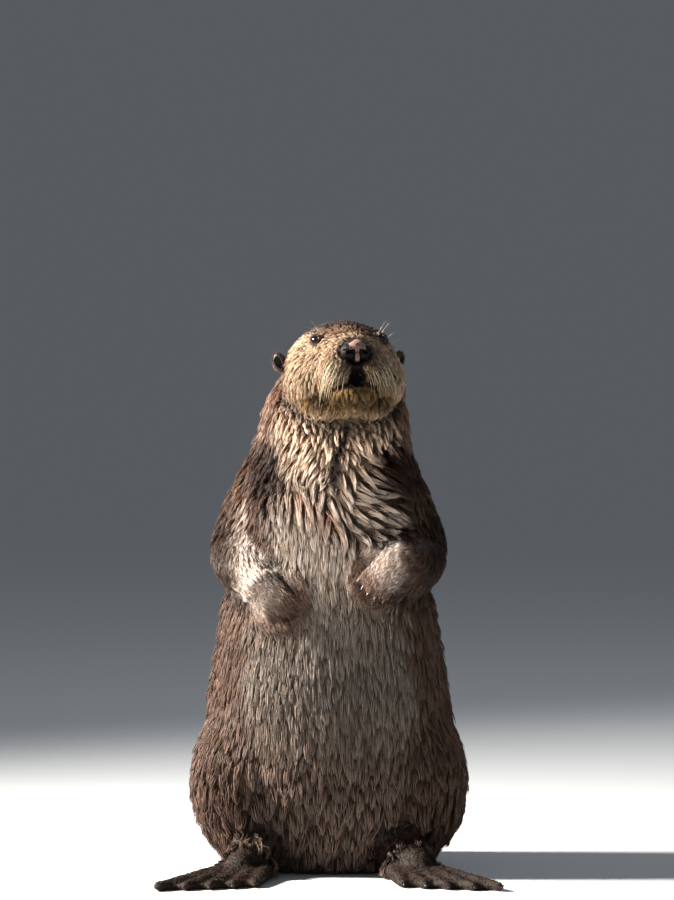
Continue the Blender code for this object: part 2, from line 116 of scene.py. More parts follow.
head_frame = (Matrix.Translation(HEAD_CENTRE)
              @ Matrix.Rotation(HEAD_TURN, 4, "Z")
              @ Matrix.Rotation(-HEAD_LIFT, 4, "X"))


def on_head(sideways, forward, up):
    """A point in the head's own frame, where the face looks along -Y."""
    return Vector((sideways, -forward, up))


def head_point(sideways, forward, up):
    return head_frame @ on_head(sideways, forward, up)


print("nose at", [round(x, 3) for x in head_point(*NOSE_PLACE)])

# %% [markdown]
# ## Tools for meshes and finishes
# Two things come up again and again below: a mesh is read or written as an array of numbers, and a
# finish is wired up from nodes. A finish here is a small builder. Each of its steps makes one node,
# takes numbers or the results of other steps for its sockets, and gives back its own result.

# %% Tools
scene = bpy.context.scene


def new_object(name, mesh):
    obj = bpy.data.objects.new(name, mesh)
    scene.collection.objects.link(obj)
    return obj


def from_bmesh(bm, name):
    """An object of what bm holds. It uses bm up."""
    mesh = bpy.data.meshes.new(name)
    bm.to_mesh(mesh)
    bm.free()
    return new_object(name, mesh)


def read_vectors(rows, name):
    flat = np.empty(len(rows) * 3, np.float32)
    rows.foreach_get(name, flat)
    return flat.reshape(-1, 3).astype(float)


def coordinates(obj):
    return read_vectors(obj.data.vertices, "co")


def point_normals(obj):
    return read_vectors(obj.data.vertex_normals, "vector")


def set_coordinates(obj, points):
    obj.data.vertices.foreach_set("co", points.astype(np.float32).ravel())
    obj.data.update()


def store_colour(mesh, name, colours):
    rgba = np.ones((len(colours), 4), np.float32)
    rgba[:, :3] = np.clip(colours, 0, 1)
    mesh.attributes.new(name, "FLOAT_COLOR", "POINT").data.foreach_set("color", rgba.ravel())


def store_number(mesh, name, values):
    numbers = np.asarray(values, np.float32)
    mesh.attributes.new(name, "FLOAT", "POINT").data.foreach_set("value", numbers)


class Finish:
    """A material in the making."""

    def __init__(self, name, sockets):
        self.material = bpy.data.materials.new(name)
        self.material.use_nodes = True
        self.tree = self.material.node_tree
        self.shader = self.tree.nodes["Principled BSDF"]
        self.plug(sockets)

    def plug(self, sockets, node=None):
        """Sets sockets of the shader or a node: results are linked, and numbers are written."""
        for key, value in sockets.items():
            socket = (node or self.shader).inputs[key]
            if isinstance(value, bpy.types.NodeSocket):
                self.tree.links.new(value, socket)
            else:
                socket.default_value = value

    def node(self, kind, sockets, **settings):
        made = self.tree.nodes.new("ShaderNode" + kind)
        for key, value in settings.items():
            setattr(made, key, value)
        self.plug(sockets, made)
        return made

    def attribute(self, name, output="Fac"):
        return self.node("Attribute", {}, attribute_name=name).outputs[output]

    def math(self, operation, *values):
        return self.node("Math", dict(enumerate(values)), operation=operation).outputs[0]

    def tinted(self, colour, by):
        return self.node("VectorMath", {0: colour, 1: by}, operation="MULTIPLY").outputs["Vector"]

    def scaled(self, colour, by):
        return self.node("VectorMath", {0: colour, "Scale": by}, operation="SCALE").outputs["Vector"]

    def mixed(self, share, a, b):
        return self.node("Mix", {0: share, 6: a, 7: b}, data_type="RGBA").outputs[2]

    def ranged(self, value, low, high, start=0.0, end=1.0):
        """low where value is start, high where it is end."""
        ends = {"From Min": start, "From Max": end, "To Min": low, "To Max": high}
        return self.node("MapRange", {"Value": value, **ends}).outputs["Result"]

    def stops(self, value, *stops):
        """Colours by value; a stop is a value with its red, green and blue."""
        made = self.node("ValToRGB", {"Fac": value})
        elements = made.color_ramp.elements
        for number, (position, *colour) in enumerate(stops):
            stop = elements[number] if number < 2 else elements.new(position)
            stop.position, stop.color = position, (*colour, 1)
        return made.outputs["Color"]

    def place(self):
        return self.node("TexCoord", {}).outputs["Object"]

    def noise(self, scale, detail=4.0, stretch=(1, 1, 1)):
        """A noise in the object's own coordinates, drawn out where stretch is below 1."""
        place = self.node("Mapping", {"Vector": self.place(), "Scale": stretch}).outputs["Vector"]
        return self.node("TexNoise", {"Vector": place, "Scale": scale, "Detail": detail}).outputs[0]

    def bump(self, height, strength, distance):
        sockets = {"Height": height, "Strength": strength, "Distance": distance}
        self.plug({"Normal": self.node("Bump", sockets).outputs["Normal"]})


print("the finish has", len([name for name in vars(Finish) if name[0] != "_"]), "kinds of step")

# %% [markdown]
# ## Camera, light and floor
# The portrait is taken from the front, a little above the animal and from far away, so the lens is
# very long and the body shows almost without perspective. The floor is one large plain pale plane. A
# warm lamp far round at the left models the wet locks, and a weak narrow beam reaches the chest, where
# that lamp only grazes. Three wide cool lamps keep the shaded side readable. The frame leaves much air
# above the head, as when the animal sits in open surroundings.

# %% Set up the studio
FRAME_HEIGHT = 1.098  # what the picture's long side covers at the otter
VIEW_LIFT = math.radians(4.5)
VIEW_DISTANCE = 22.0
AIM = Vector((0.0098, 0.0, 0.5116))
SENSOR = 36.0
FAR_END = 500
FLOOR_HALF_SIZE = 120
PALE_GREY = (0.60, 0.62, 0.64, 1)

camera_data = bpy.data.cameras.new("portrait")
camera_data.sensor_width = SENSOR
camera_data.lens = SENSOR * VIEW_DISTANCE / FRAME_HEIGHT
camera_data.clip_end = FAR_END
camera = bpy.data.objects.new("portrait", camera_data)
towards = Vector((0, -math.cos(VIEW_LIFT), math.sin(VIEW_LIFT)))
camera.location = AIM + towards * VIEW_DISTANCE
camera.rotation_euler = towards.to_track_quat("Z", "Y").to_euler()
scene.collection.objects.link(camera)
scene.camera = camera


def add_lamp(name, azimuth, elevation, distance, size, watts, colour, spread=180, aim=(0, 0, 0.45)):
    """A square lamp that looks at aim; azimuth 0 is in front, + is to the right."""
    data = bpy.data.lights.new(name, "AREA")
    data.spread = math.radians(spread)
    data.shape = "SQUARE"
    data.size = size
    data.energy = watts
    data.color = colour
    lamp = bpy.data.objects.new(name, data)
    az, el = math.radians(azimuth), math.radians(elevation)
    out = Vector((math.sin(az) * math.cos(el), -math.cos(az) * math.cos(el), math.sin(el)))
    lamp.location = Vector(aim) + out * distance
    lamp.rotation_euler = out.to_track_quat("Z", "Y").to_euler()
    lamp.visible_camera = False
    scene.collection.objects.link(lamp)


add_lamp("key", -89, 27, 3.2, 0.50, 78, (1.0, 0.95, 0.87), spread=60)
add_lamp("low", -38, 5, 1.6, 0.12, 0.32, (1.0, 0.94, 0.86), spread=11, aim=(0.054, -0.05, 0.42))
add_lamp("fill", 60, 25, 3.5, 2.0, 0.9, (0.82, 0.90, 1.0))
add_lamp("front", -8, 20, 4.0, 2.0, 3.4, (0.86, 0.93, 1.0))
add_lamp("back", 165, 45, 3.0, 1.2, 14, (0.90, 0.95, 1.0))

world = bpy.data.worlds.new("studio")
world.use_nodes = True
air = world.node_tree.nodes["Background"].inputs
air["Color"].default_value, air["Strength"].default_value = (0.80, 0.84, 0.90, 1), 0.19
scene.world = world
scene.view_settings.view_transform = "Standard"


def build_floor():
    bm = bmesh.new()
    bmesh.ops.create_grid(bm, x_segments=1, y_segments=1, size=FLOOR_HALF_SIZE)
    floor = from_bmesh(bm, "floor")
    finish = Finish("plain_floor", {"Base Color": PALE_GREY, "Roughness": 0.85})
    floor.data.materials.append(finish.material)
    return floor


build_floor()
print("lens", round(camera_data.lens), "mm at", VIEW_DISTANCE, "m")

# %% [markdown]
# ## Measuring rules
# Everything that follows, such as how deep the coat is, which way it lies and what colour it has,
# depends on where on the body a point sits. These small functions answer that for many points at
# once. One survey gathers the measures: the place in the head's frame, the nearest point of a limb's
# middle line, and each part's share. A mask is a soft step on one measure. Later cells hold tables of
# masks, and paint lays the values of such a table over each other, be they colours or cuts of hair.

# %% Helpers for places
def soft(low, high, value):
    """0 below low, 1 above high and a smooth ramp between them. low may be the larger."""
    t = np.clip((value - low) / (high - low), 0, 1)
    return t * t * (3 - 2 * t)


def unit(vectors):
    return vectors / np.maximum(np.linalg.norm(vectors, axis=-1, keepdims=True), 1e-9)


def mix(a, b, share):
    """Numbers: a where share is 0 and b where it is 1."""
    return a * (1 - share) + b * share


def tint(colours, other, share):
    """The same for colours or directions, one row for each point."""
    return np.asarray(colours) * (1 - share[:, None]) + np.asarray(other) * share[:, None]


def distance(points, place):
    return np.linalg.norm(points - np.array(place), axis=1)


def masks(at, *rows):
    """The product of some masks. A mask names a measure, and where on it the mask begins and is full.

    Two more numbers give its least and its most. A name alone is a measure that is a mask itself.
    """
    share = 1.0
    for name, *ends in rows:
        mask = soft(*ends[:2], at[name]) if ends else at[name]
        share = share * (mix(*ends[2:], mask) if ends[2:] else mask)
    return share


def paint(base, at, rows):
    """Tints base by rows of a colour, its strength and its masks, later ones over earlier ones."""
    for other, strength, *row in rows:
        base = tint(base, other, masks(at, *row) * strength)
    return base


HEAD_AXES = np.array(head_frame.to_3x3())
HEAD_ORIGIN = np.array(head_frame.translation)


def head_place(points):
    """Sideways, forward and up on the head, for each point."""
    local = (points - HEAD_ORIGIN) @ HEAD_AXES
    return local[:, 0], -local[:, 1], local[:, 2]


def ripple(points, size, seed=0.0):
    """A smooth pattern from -1 to 1 with features of that size."""
    shift = np.array([seed, seed * 1.7, -seed])
    scaled = points / size + shift
    return np.array([noise.noise(Vector(p)) for p in scaled])


def along_limb(points, rows):
    """Distance outside the limb, way along it (0 to rows-1) and its direction there."""
    best = np.full(len(points), 9.0)
    where = np.zeros(len(points))
    direction = np.zeros((len(points), 3))
    for i, (a, b) in enumerate(zip(rows, rows[1:])):
        start, end = np.array(a[:3]), np.array(b[:3])
        line = end - start
        t = np.clip((points - start) @ line / (line @ line), 0, 1)
        gap = np.linalg.norm(points - start - t[:, None] * line, axis=1) - (a[3] + t * (b[3] - a[3]))
        closer = gap < best
        best[closer] = gap[closer]
        where[closer] = i + t[closer]
        direction[closer] = line / np.linalg.norm(line)
    return best, where, direction


def cut_plane():
    """Where the head begins: a point on the plane through throat and nape, and its normal."""
    under = head_point(0, HEAD_CUT[0], HEAD_CUT[1])
    nape = head_point(0, HEAD_CUT[2], HEAD_CUT[3])
    sideways = Vector(HEAD_AXES[:, 0])
    return np.array(under), -np.array((nape - under).cross(sideways).normalized())


HEAD_START, HEAD_NORMAL = cut_plane()


def survey(points):
    """Measures for the tables: places on body and head, and from 0 to 1 each part's share."""
    x, y, z = points.T
    sideways, forward, up = head_place(points)
    at = {"x": x, "y": y, "z": z, "out": np.abs(x), "arm": 0.0, "paw": 0.0,
          "sideways": sideways, "across": np.abs(sideways), "forward": forward, "up": up,
          "from_jaw": (points - HEAD_START) @ HEAD_NORMAL}
    at["head"] = soft(-0.012, 0.012, at["from_jaw"])
    for side, rows in ARMS.items():
        gap, place, _ = along_limb(points, rows)
        at[f"gap_{side}"], at[f"place_{side}"] = gap, place
        from_wrist, aim = points - np.array(rows[-1][:3]), np.array(PAW_AIMS[side].normalized())
        near = soft(0.052, 0.040, distance(from_wrist, aim * PAW_LENGTH / 2))
        at["paw"] = np.maximum(at["paw"], near * soft(-0.004, 0.014, from_wrist @ aim))
        outer = soft(0.010, 0.030, at["out"] - 0.062 + 0.2 * soft(2.0, 4.0, place))
        at["arm"] = np.maximum(at["arm"], soft(0.010, 0.001, gap) * outer)
    at["arm"] = at["arm"] * (1 - at["paw"])
    at["flipper"] = soft(-0.128, -0.150, y) * soft(0.075, 0.050, z)
    at["tail"] = soft(0.176, 0.200, y) * soft(0.085, 0.060, z)
    return at


print("head begins at height", round(float(HEAD_START[2]), 3))

# %% [markdown]
# ## One skin
# The solids are parted where a person would name the pieces, with thin gaps. A living skin has no
# seams, so the pieces are swollen by a hair, joined and remeshed into one closed surface of small
# even faces. It is then smoothed and drawn in by the depth of the coat, which is deep on the body,
# shallow on the face, and almost nothing on the paws, the flippers and where the rump presses on the
# floor. A subdivision cage would be smoother, but no cage follows arms, toes and ears at once.

# %% Make the skin
BARE = ("eye", "nose", "ear")
FLESH = [name for name in frame["nodes"] if not name.startswith(BARE)]
SKIN_VOXEL = 0.0029
SKIN_SMOOTHING = 8
SWELL = 0.0007


def applied(obj):
    """Replaces obj's mesh by the result of its modifiers."""
    graph = bpy.context.evaluated_depsgraph_get()
    mesh = bpy.data.meshes.new_from_object(obj.evaluated_get(graph))
    obj.modifiers.clear()
    obj.data = mesh
    return obj


def join_flesh():
    """All pieces of flesh in one mesh, each swollen so that it laps over its neighbours.

    The eyes go in too, because the lids are made from the skin that lies over them.
    """
    bm = bmesh.new()
    for name in [*FLESH, "eye_left", "eye_right"]:
        node = frame["nodes"][name]
        mesh = node.data.copy()
        mesh.transform(node.matrix_world)
        piece = bmesh.new()
        piece.from_mesh(mesh)
        bmesh.ops.remove_doubles(piece, verts=piece.verts, dist=1e-5)
        piece.normal_update()
        for vert in piece.verts:
            vert.co += vert.normal * SWELL
        piece.to_mesh(mesh)
        piece.free()
        bm.from_mesh(mesh)
        bpy.data.meshes.remove(mesh)
    return from_bmesh(bm, "skin")


def remesh(obj, voxel, smoothing):
    """A closed surface of even faces round all that obj holds, smoothed so many times."""
    modifier = obj.modifiers.new("remesh", "REMESH")
    modifier.mode, modifier.voxel_size = "VOXEL", voxel
    return smoothed(obj, smoothing)


def smoothed(obj, times):
    modifier = obj.modifiers.new("smooth", "SMOOTH")
    modifier.factor, modifier.iterations = 0.5, times
    return applied(obj)


def jaw_crease(at):
    """The fold under the jaw, where the head overhangs the throat."""
    return np.exp(-((at["from_jaw"] + 0.001) / 0.0085)**2) * soft(0.01, -0.03, at["y"])


def coat_depth(points):
    """How far the skin lies inside the tips of the coat."""
    at = survey(points)
    depth = mix(0.0085, 0.0065, at["arm"])
    depth = mix(depth, mix(0.0045, 0.0016, soft(0.07, 0.11, at["forward"])), at["head"])
    depth = mix(depth, 0.0035, at["tail"])
    depth = mix(depth, 0.0009, np.maximum(at["paw"], at["flipper"]))
    depth = depth + 0.0085 * jaw_crease(at)
    return depth * soft(0.0, 0.030, at["z"]) + 0.0004


skin = remesh(join_flesh(), SKIN_VOXEL, SKIN_SMOOTHING)
points = coordinates(skin)
set_coordinates(skin, points - point_normals(skin) * coat_depth(points)[:, None])
print("skin:", len(skin.data.polygons), "faces")

# %% [markdown]
# ## Lids and lips in the skin
# Round each eye the skin hugs the ball and leaves an opening through which it shows. First the mesh is
# refined there, as lids need smaller faces than a back. Then every point near an eye is moved along
# the ray from the eye's centre: inside the opening it goes under the ball's surface, and round it just
# over the surface, which makes the swell of the lids. Cutting a hole would leave a ragged edge; a thin
# rim covers the boundary afterwards. The lips are a crease pressed in below the whisker pads.

# %% Sculpt round the eyes and lips
GAZE = {side: (head_frame.to_3x3() @ Vector((sign * 0.62, -0.74, 0.26))).normalized()
        for side, sign in SIDES.items()}
EYES = {side: head_point(sign * EYE_PLACE[0], *EYE_PLACE[1:]) for side, sign in SIDES.items()}
EYE_OPENING = math.radians(42)
FINE_RADIUS = 0.017  # the mesh is refined so far round each eye
LIP_CREASE = 0.0042
SOLE = 0.0002  # the skin's underside is this far over the floor


def refine_near(obj, centres, radius, cuts):
    bm = bmesh.new()
    bm.from_mesh(obj.data)
    near = [f for f in bm.faces if min((f.calc_center_median() - c).length for c in centres) < radius]
    edges = list({edge for face in near for edge in face.edges})
    bmesh.ops.subdivide_edges(bm, edges=edges, cuts=cuts, use_grid_fill=True)
    bmesh.ops.triangulate(bm, faces=[f for f in bm.faces if len(f.verts) > 4])
    bm.to_mesh(obj.data)
    bm.free()


def off_gaze(points, side):
    """Distance from the eye's centre, and the angle between that ray and the gaze."""
    rays = points - np.array(EYES[side])
    reach = np.linalg.norm(rays, axis=1)
    return rays, reach, np.arccos(np.clip(unit(rays) @ np.array(GAZE[side]), -1, 1))


def hug_eyes(points):
    for side, centre in EYES.items():
        rays, reach, angle = off_gaze(points, side)
        near = (reach < EYE_RADIUS * 2.0) & (angle < math.radians(100))
        over = EYE_RADIUS * (1.075 + 0.05 * np.sin(np.clip((angle - EYE_OPENING) / 0.7, 0, 1) * np.pi))
        loose = soft(math.radians(52), math.radians(88), angle)
        wanted = np.maximum(mix(over, np.maximum(reach, over), loose), reach * loose)
        opening = soft(EYE_OPENING + 0.10, EYE_OPENING - 0.06, angle)
        wanted = mix(wanted, EYE_RADIUS * 0.84, opening)
        points[near] = (np.array(centre) + unit(rays) * wanted[:, None])[near]
    return points


def lip_depth(at):
    """How deep in the crease between whisker pad and chin a point is, from 0 to 1."""
    line = -0.0545 - 0.28 * np.maximum(at["across"] - 0.006, 0)  # the lips run out and down
    along = masks(at, ("across", 0.004, 0.009), ("across", 0.040, 0.028), ("forward", 0.060, 0.075))
    return np.exp(-((at["up"] - line) / 0.0032)**2) * along


refine_near(skin, list(EYES.values()), FINE_RADIUS, 2)
points = hug_eyes(coordinates(skin))
set_coordinates(skin, points)
points = points - point_normals(skin) * (LIP_CREASE * lip_depth(survey(points)))[:, None]
points[:, 2] = np.maximum(points[:, 2], SOLE)
set_coordinates(skin, points)
skin.data.shade_smooth()
skin_points = coordinates(skin)
print("eyes are", round((EYES["left"] - EYES["right"]).length, 4), "m apart")

# %% [markdown]
# ## Folds
# Light hardly reaches the folds: under the jaw, between arm and belly, beside the thighs and between
# the toes. Hair is also shorter there. A fold shows where the smoothed skin lies outside the real one,
# so the skin is compared with a much smoothed copy of itself. That finds all folds with one rule.

# %% Find the folds
FOLD_SMOOTHING = 70
skin.data.calc_loop_triangles()
corners = np.empty(len(skin.data.loop_triangles) * 3, np.int32)
skin.data.loop_triangles.foreach_get("vertices", corners)
corners = corners.reshape(-1, 3)
skin_tree = BVHTree.FromPolygons(skin_points.tolist(), corners.tolist())


def nearest(tree, points):
    """For each point the nearest place on a surface, its normal and the triangle it is on."""
    found = [tree.find_nearest(Vector(p)) for p in points]
    place, normal, triangle = (np.array([f[k] if k == 2 else f[k][:] for f in found]) for k in range(3))
    return place, normal, triangle


def find_folds():
    copy = smoothed(new_object("smoothed", skin.data.copy()), FOLD_SMOOTHING)
    change = coordinates(copy) - skin_points
    bpy.data.objects.remove(copy, do_unlink=True)
    return soft(0.0003, 0.0028, np.sum(change * point_normals(skin), axis=1))


skin_folds = find_folds()


def folds_at(points):
    """How deep in a fold each point is, from 0 to 1."""
    return skin_folds[corners[nearest(skin_tree, points)[2]]].mean(axis=1)


print("in a fold:", round(float((skin_folds > 0.5).mean()) * 100, 1), "% of the skin's points")

# %% [markdown]
# ## Colours of the coat
# The otter has a pale, grizzled head, a cream throat and chest, a grey-tan belly, and dark
# red-brown shoulders, back and limbs. The skin under the coat has to carry the same markings, or gaps
# between the locks would show the wrong colour. So one function answers the colour for any point, and
# both the skin's points and the roots of the tufts ask it. Each region is a row of a table: a colour,
# its strength, and the soft masks that bound it. A ripple breaks up the edges.
# Some rows paint light and shade instead of the coat's own colour: a pale wet sheen on the lower arms and
# paws, shade under the chin, a shadow band below the throat's pale locks, a reflection in the mouth, and on
# the shaded left side a smaller sheen, fainter streaks and a wider dark pad colour. The colour is also
# darkened in the folds and in the throat's parting.

# %% Paint the markings
CREAM = (0.53, 0.41, 0.295)
GOLD = (0.38, 0.255, 0.115)
RUST = (0.138, 0.074, 0.045)
MAUVE = (0.088, 0.063, 0.056)
CROWN = (0.032, 0.023, 0.021)
NAPE = (0.22, 0.135, 0.095)
THROAT = (0.72, 0.58, 0.46)
CHEST = (0.38, 0.325, 0.28)
BELLY = (0.265, 0.232, 0.205)
FLANK = (0.28, 0.185, 0.145)
ARM = (0.185, 0.122, 0.094)
SHOULDER = (0.032, 0.015, 0.010)
PALE_WRIST_AND_SHEEN = (0.60, 0.54, 0.50)
STREAK = (0.30, 0.135, 0.060)
PAW = (0.15, 0.10, 0.078)
BACK = (0.080, 0.045, 0.033)
FOOT = (0.050, 0.033, 0.026)
CHIN_AND_SHADE = (0.130, 0.083, 0.040)
PAD_AND_SHADE = (0.20, 0.132, 0.066)
GUM_AND_REFLECTION = (0.080, 0.054, 0.052)
EDGE = (0.030, 0.020, 0.015)
BLACK = (0.012, 0.009, 0.008)
NO_LIGHT = (0, 0, 0)

FACE_MARKS = (  # colour, strength, masks
    (CREAM, 1, ("face", 0.004, 0.046)),
    (MAUVE, 1, ("brow", 0.010, 0.022), ("across", 0.024, 0.036)),
    (RUST, 1, ("brow", 0.006, 0.016), ("across", 0.036, 0.024), ("forward", 0.116, 0.092)),
    (CROWN, 1, ("top", 0.022, 0.033), ("forward", 0.100, 0.070)),
    (GOLD, 1, ("low", -0.044, -0.058), ("across", 0.066, 0.050), ("forward", 0.030, 0.055)),
    # Painted shade under the muzzle and jaw, laid over the chin's own darker brown-gold.
    (CHIN_AND_SHADE, 0.80, ("below", -0.0580, -0.0690), ("below", -0.0865, -0.0815), ("across", 0.058, 0.044),
     ("forward", 0.030, 0.050)),
    # The pale throat is weaker in the middle, so that the painted shade under the jaw meets it there.
    (THROAT, 1, ("below", -0.082, -0.088), ("forward", -0.020, 0.005),
     ("across", 0.014, 0.034, 0.40, 0.90), ("clumps", -0.45, 0.15, 0.35, 1.0)),
    # Darker gold on the whisker pads by the mouth; on the shaded left side it spreads over the whole pad as
    # painted shade.
    (PAD_AND_SHADE, 0.65, ("across", 0.009, 0.015), ("over_pad", 1.25, 0.95), ("forward", 0.060, 0.080),
     ("up", -0.028, -0.037), ("up", -0.062, -0.056)),
    *((BLACK, 0.92, (f"angle_{side}", EYE_OPENING + 0.36, EYE_OPENING + 0.20),
       (f"reach_{side}", 0.0125, 0.0110)) for side in SIDES),
    (NO_LIGHT, 0.6, ("lips",)),
    (BLACK, 0.9, ("from_nose", 0.0235, 0.0190)),
    (BLACK, 1, ("across", 0.0085, 0.0055), ("forward", 0.088, 0.096), ("up", -0.018, -0.023),
     ("up", -0.062, -0.056)),
    (BLACK, 1, ("mouth", 1.12, 0.92), ("forward", 0.070, 0.085)),
    # Inside the mouth the gum colour is lighter in the middle: partly its own colour, partly a painted wet
    # reflection.
    (GUM_AND_REFLECTION, 1, ("mouth", 0.95, 0.60), ("forward", 0.070, 0.085)),
)
PALE_MARKS = (
    (CHEST, 1, ("z_wavy", 0.415, 0.455)),
    (THROAT, 1, ("z_fine", 0.475, 0.515)),
    # Painted shadow: a darker band just below the tips of the throat's pale locks, in the middle and on the
    # right.
    (FLANK, 0.75, ("shadow_below_tips", 0.002, -0.008), ("shadow_below_tips", -0.045, -0.014), ("x", 0.022, 0.008)),
    (ARM, 0.75, ("z", 0.26, 0.10)),
)
DARK_MARKS = (
    (FLANK, 1, ("z", 0.490, 0.540), ("turned", 128, 92)),
    (NAPE, 0.8, ("z", 0.540, 0.600)),
    (ARM, 0.6, ("turned", 120, 70), ("z", 0.46, 0.36)),
)
ARM_MARKS = (
    (ARM, 1, ("z_coarse", 0.505, 0.435)),
    (STREAK, 1, ("streaks", 0.05, 0.45), ("streaky",)),
    # Paler forearms under a painted wet sheen, which reaches higher and wider on the lit right side (x <
    # 0).
    (PALE_WRIST_AND_SHEEN, 1, ("pale_start", 0.0, -0.028), ("pale_edge", 1.22, 1.0), ("y", -0.015, -0.050),
     ("glints", -0.35, 0.25)),
    (EDGE, 0.85, ("arm_edge", 0.104, 0.126)),
)
# The paws are paler too and carry the same painted sheen, kept narrower on the shaded left side.
PAW_MARKS = ((PALE_WRIST_AND_SHEEN, 0.72, ("from_wrist", 0.054, 0.034), ("over_paw", 1.25, 1.0)),)


def measure_face(at, points, wobble):
    """The measures that only the face's table asks for."""
    forward, up = at["forward"], at["up"]
    at["face"] = forward + 0.008 * wobble
    at["brow"] = up + 0.18 * (forward - 0.06) + 0.004 * wobble
    at["top"] = up + 0.10 * forward + 0.004 * wobble
    at["low"] = up + 0.004 * wobble
    at["below"] = up + 0.345 * (forward - 0.100) + 0.002 * wobble
    at["clumps"] = ripple(points, 0.007, 2.0)
    # The pad colour reaches wider on the shaded left side (sideways > 0): painted shade.
    at["over_pad"] = at["across"] / np.where(at["sideways"] > 0, 0.050, 0.019)
    for side in EYES:
        _, at[f"reach_{side}"], at[f"angle_{side}"] = off_gaze(points, side)
    at["lips"] = lip_depth(at)
    at["from_nose"] = distance(points, head_point(*NOSE_PLACE))
    at["mouth"] = np.sqrt((at["sideways"] / 0.0105)**2 + ((up - MOUTH_PLACE[2]) / 0.0135)**2)


def throat_tips(x):
    """Height at which the throat's pale locks end over the darker chest."""
    return np.interp(x, (-0.066, -0.011, 0.013), (0.510, 0.463, 0.450))


def measure_body(at, points, wobble):
    """The measures that only the body's tables ask for. On the shaded left side (x > 0) the pale sheen is
    smaller and the streaks are fainter, as painted shade.
    """
    x, y, z, out = at["x"], at["y"], at["z"], at["out"]
    middle = np.interp(z, (0.44, 0.60), (0.0, 0.012))
    at["turned"] = np.degrees(np.arctan2(np.abs(x - middle), -y)) + 9 * wobble
    edge = np.interp(z, (0.0, 0.20, 0.40, 0.47, 0.54, 0.60), (34, 44, 40, 44, 52, 56))
    at["front"] = soft(edge + 9, edge - 9, at["turned"])
    at["z_wavy"], at["z_fine"], at["z_coarse"] = (z + size * wobble for size in (0.012, 0.010, 0.016))
    at["shadow_below_tips"] = z - throat_tips(x) + 0.004 * wobble
    at["patch"] = np.hypot((out - 0.074) / 0.028, (z - 0.499) / 0.034) + 0.30 * wobble
    at["streaks"] = ripple(points * np.array((1, 1, 0.25)), 0.007, 4.4)
    at["glints"] = at["streaks"] + 0.4
    # Painted shade on the left side (x > 0): fainter streaks, and a pale sheen that reaches less high and
    # less far out.
    at["streaky"] = np.where(x > 0, 0.35, 0.70)
    outside = np.where(x > 0, 0.084, 0.108)
    at["pale_start"] = at["z_wavy"] - np.where(x > 0, 0.432, 0.468)
    at["pale_edge"], at["over_paw"] = (out + 0.008 * wobble) / outside, out / outside
    at["arm_edge"] = out + 0.006 * wobble
    wrists = [distance(points, rows[-1][:3]) for rows in ARMS.values()]
    at["from_wrist"] = np.min(wrists, axis=0) + 0.005 * wobble


def shaded_parting(at):
    """1 in the cleft of the wet throat, where the coat falls to both sides; the colour is darkened there as
    painted shade.
    """
    line = np.interp(at["z"], (0.475, 0.510, 0.545), (0.006, 0.009, 0.021))
    width = np.interp(at["z"], (0.470, 0.500, 0.530, 0.550), (0.003, 0.0065, 0.0050, 0.003))
    inside = soft(1.5, 0.5, np.abs(at["x"] - line) / width)
    return inside * masks(at, ("z", 0.468, 0.482)) * masks(at, ("z", 0.556, 0.545)) * (at["y"] < 0)


def coat_colours(points):
    """The coat's colour at each point, painted shade and sheen included, as linear red, green and blue."""
    at = survey(points)
    wobble = ripple(points, 0.022) + 0.5 * ripple(points, 0.009, 3.1)
    measure_face(at, points, wobble)
    measure_body(at, points, wobble)
    colour = paint(paint(BACK, at, DARK_MARKS), at, (
        (paint(BELLY, at, PALE_MARKS), 1, ("front",)),
        (SHOULDER, 1, ("patch", 1.50, 0.50), ("y", 0.03, -0.02)),
        (paint(SHOULDER, at, ARM_MARKS), 1, ("arm",)),
        (paint(PAW, at, PAW_MARKS), 1, ("paw",)),
        (FOOT, 1, ("flipper",)),
        (BACK, 1, ("tail",)),
        (paint(NAPE, at, FACE_MARKS), 1, ("head",))))
    shade = 1 + 0.16 * ripple(points, 0.045, 7.7) + 0.10 * ripple(points, 0.012, 1.3)
    # Painted shade: the colour is darker in the skin's folds and in the throat's parting.
    shade = shade * (1 - 0.65 * folds_at(points)) * (1 - 0.86 * shaded_parting(at))
    return colour * shade[:, None]


store_colour(skin.data, "coat_colour", coat_colours(skin_points))
print("painted", len(skin_points), "points of skin")

# %% [markdown]
# ## The skin's finish
# Between the locks one sees the wet underwool: the coat's colour, but much darker, because little
# light gets in there. The material reads the painted marking, darkens it, and breaks it up with a fine
# stretched noise that also drives the bump. On the paws and flippers, which are almost bare, the same
# noise reads as short wet hair.

# %% Finish the skin
def skin_finish():
    wool = Finish("underwool", {"Roughness": 0.65, "Specular IOR Level": 0.20})
    grain = wool.noise(1000.0, 3.0, (1.0, 1.0, 0.16))
    light = wool.math("MULTIPLY", wool.ranged(grain, 0.45, 1.25, 0.30, 0.70), wool.attribute("daylight"))
    redder = wool.tinted(wool.attribute("coat_colour", "Color"), (1.0, 0.84, 0.72))
    wool.plug({"Base Color": wool.scaled(redder, light)})
    wool.bump(grain, 0.8, 0.0016)
    return wool.material


skin.data.materials.clear()
skin.data.materials.append(skin_finish())
for polygon in skin.data.polygons:
    polygon.material_index = 0
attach(skin, "root")
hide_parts(*FLESH)
print("the skin stands for", len(FLESH), "pieces of flesh")

# %% [markdown]
# ## Which way the coat lies
# Hair grows backwards from the nose, falls over the cheeks, and runs down the body towards the floor;
# on the arms it runs to the fingers and on the tail to the tip. A wet chest is ruffled, so the
# direction wanders there. The comb is a function of place again: it gives a direction along the skin
# for any point, and nothing has to be painted by hand.

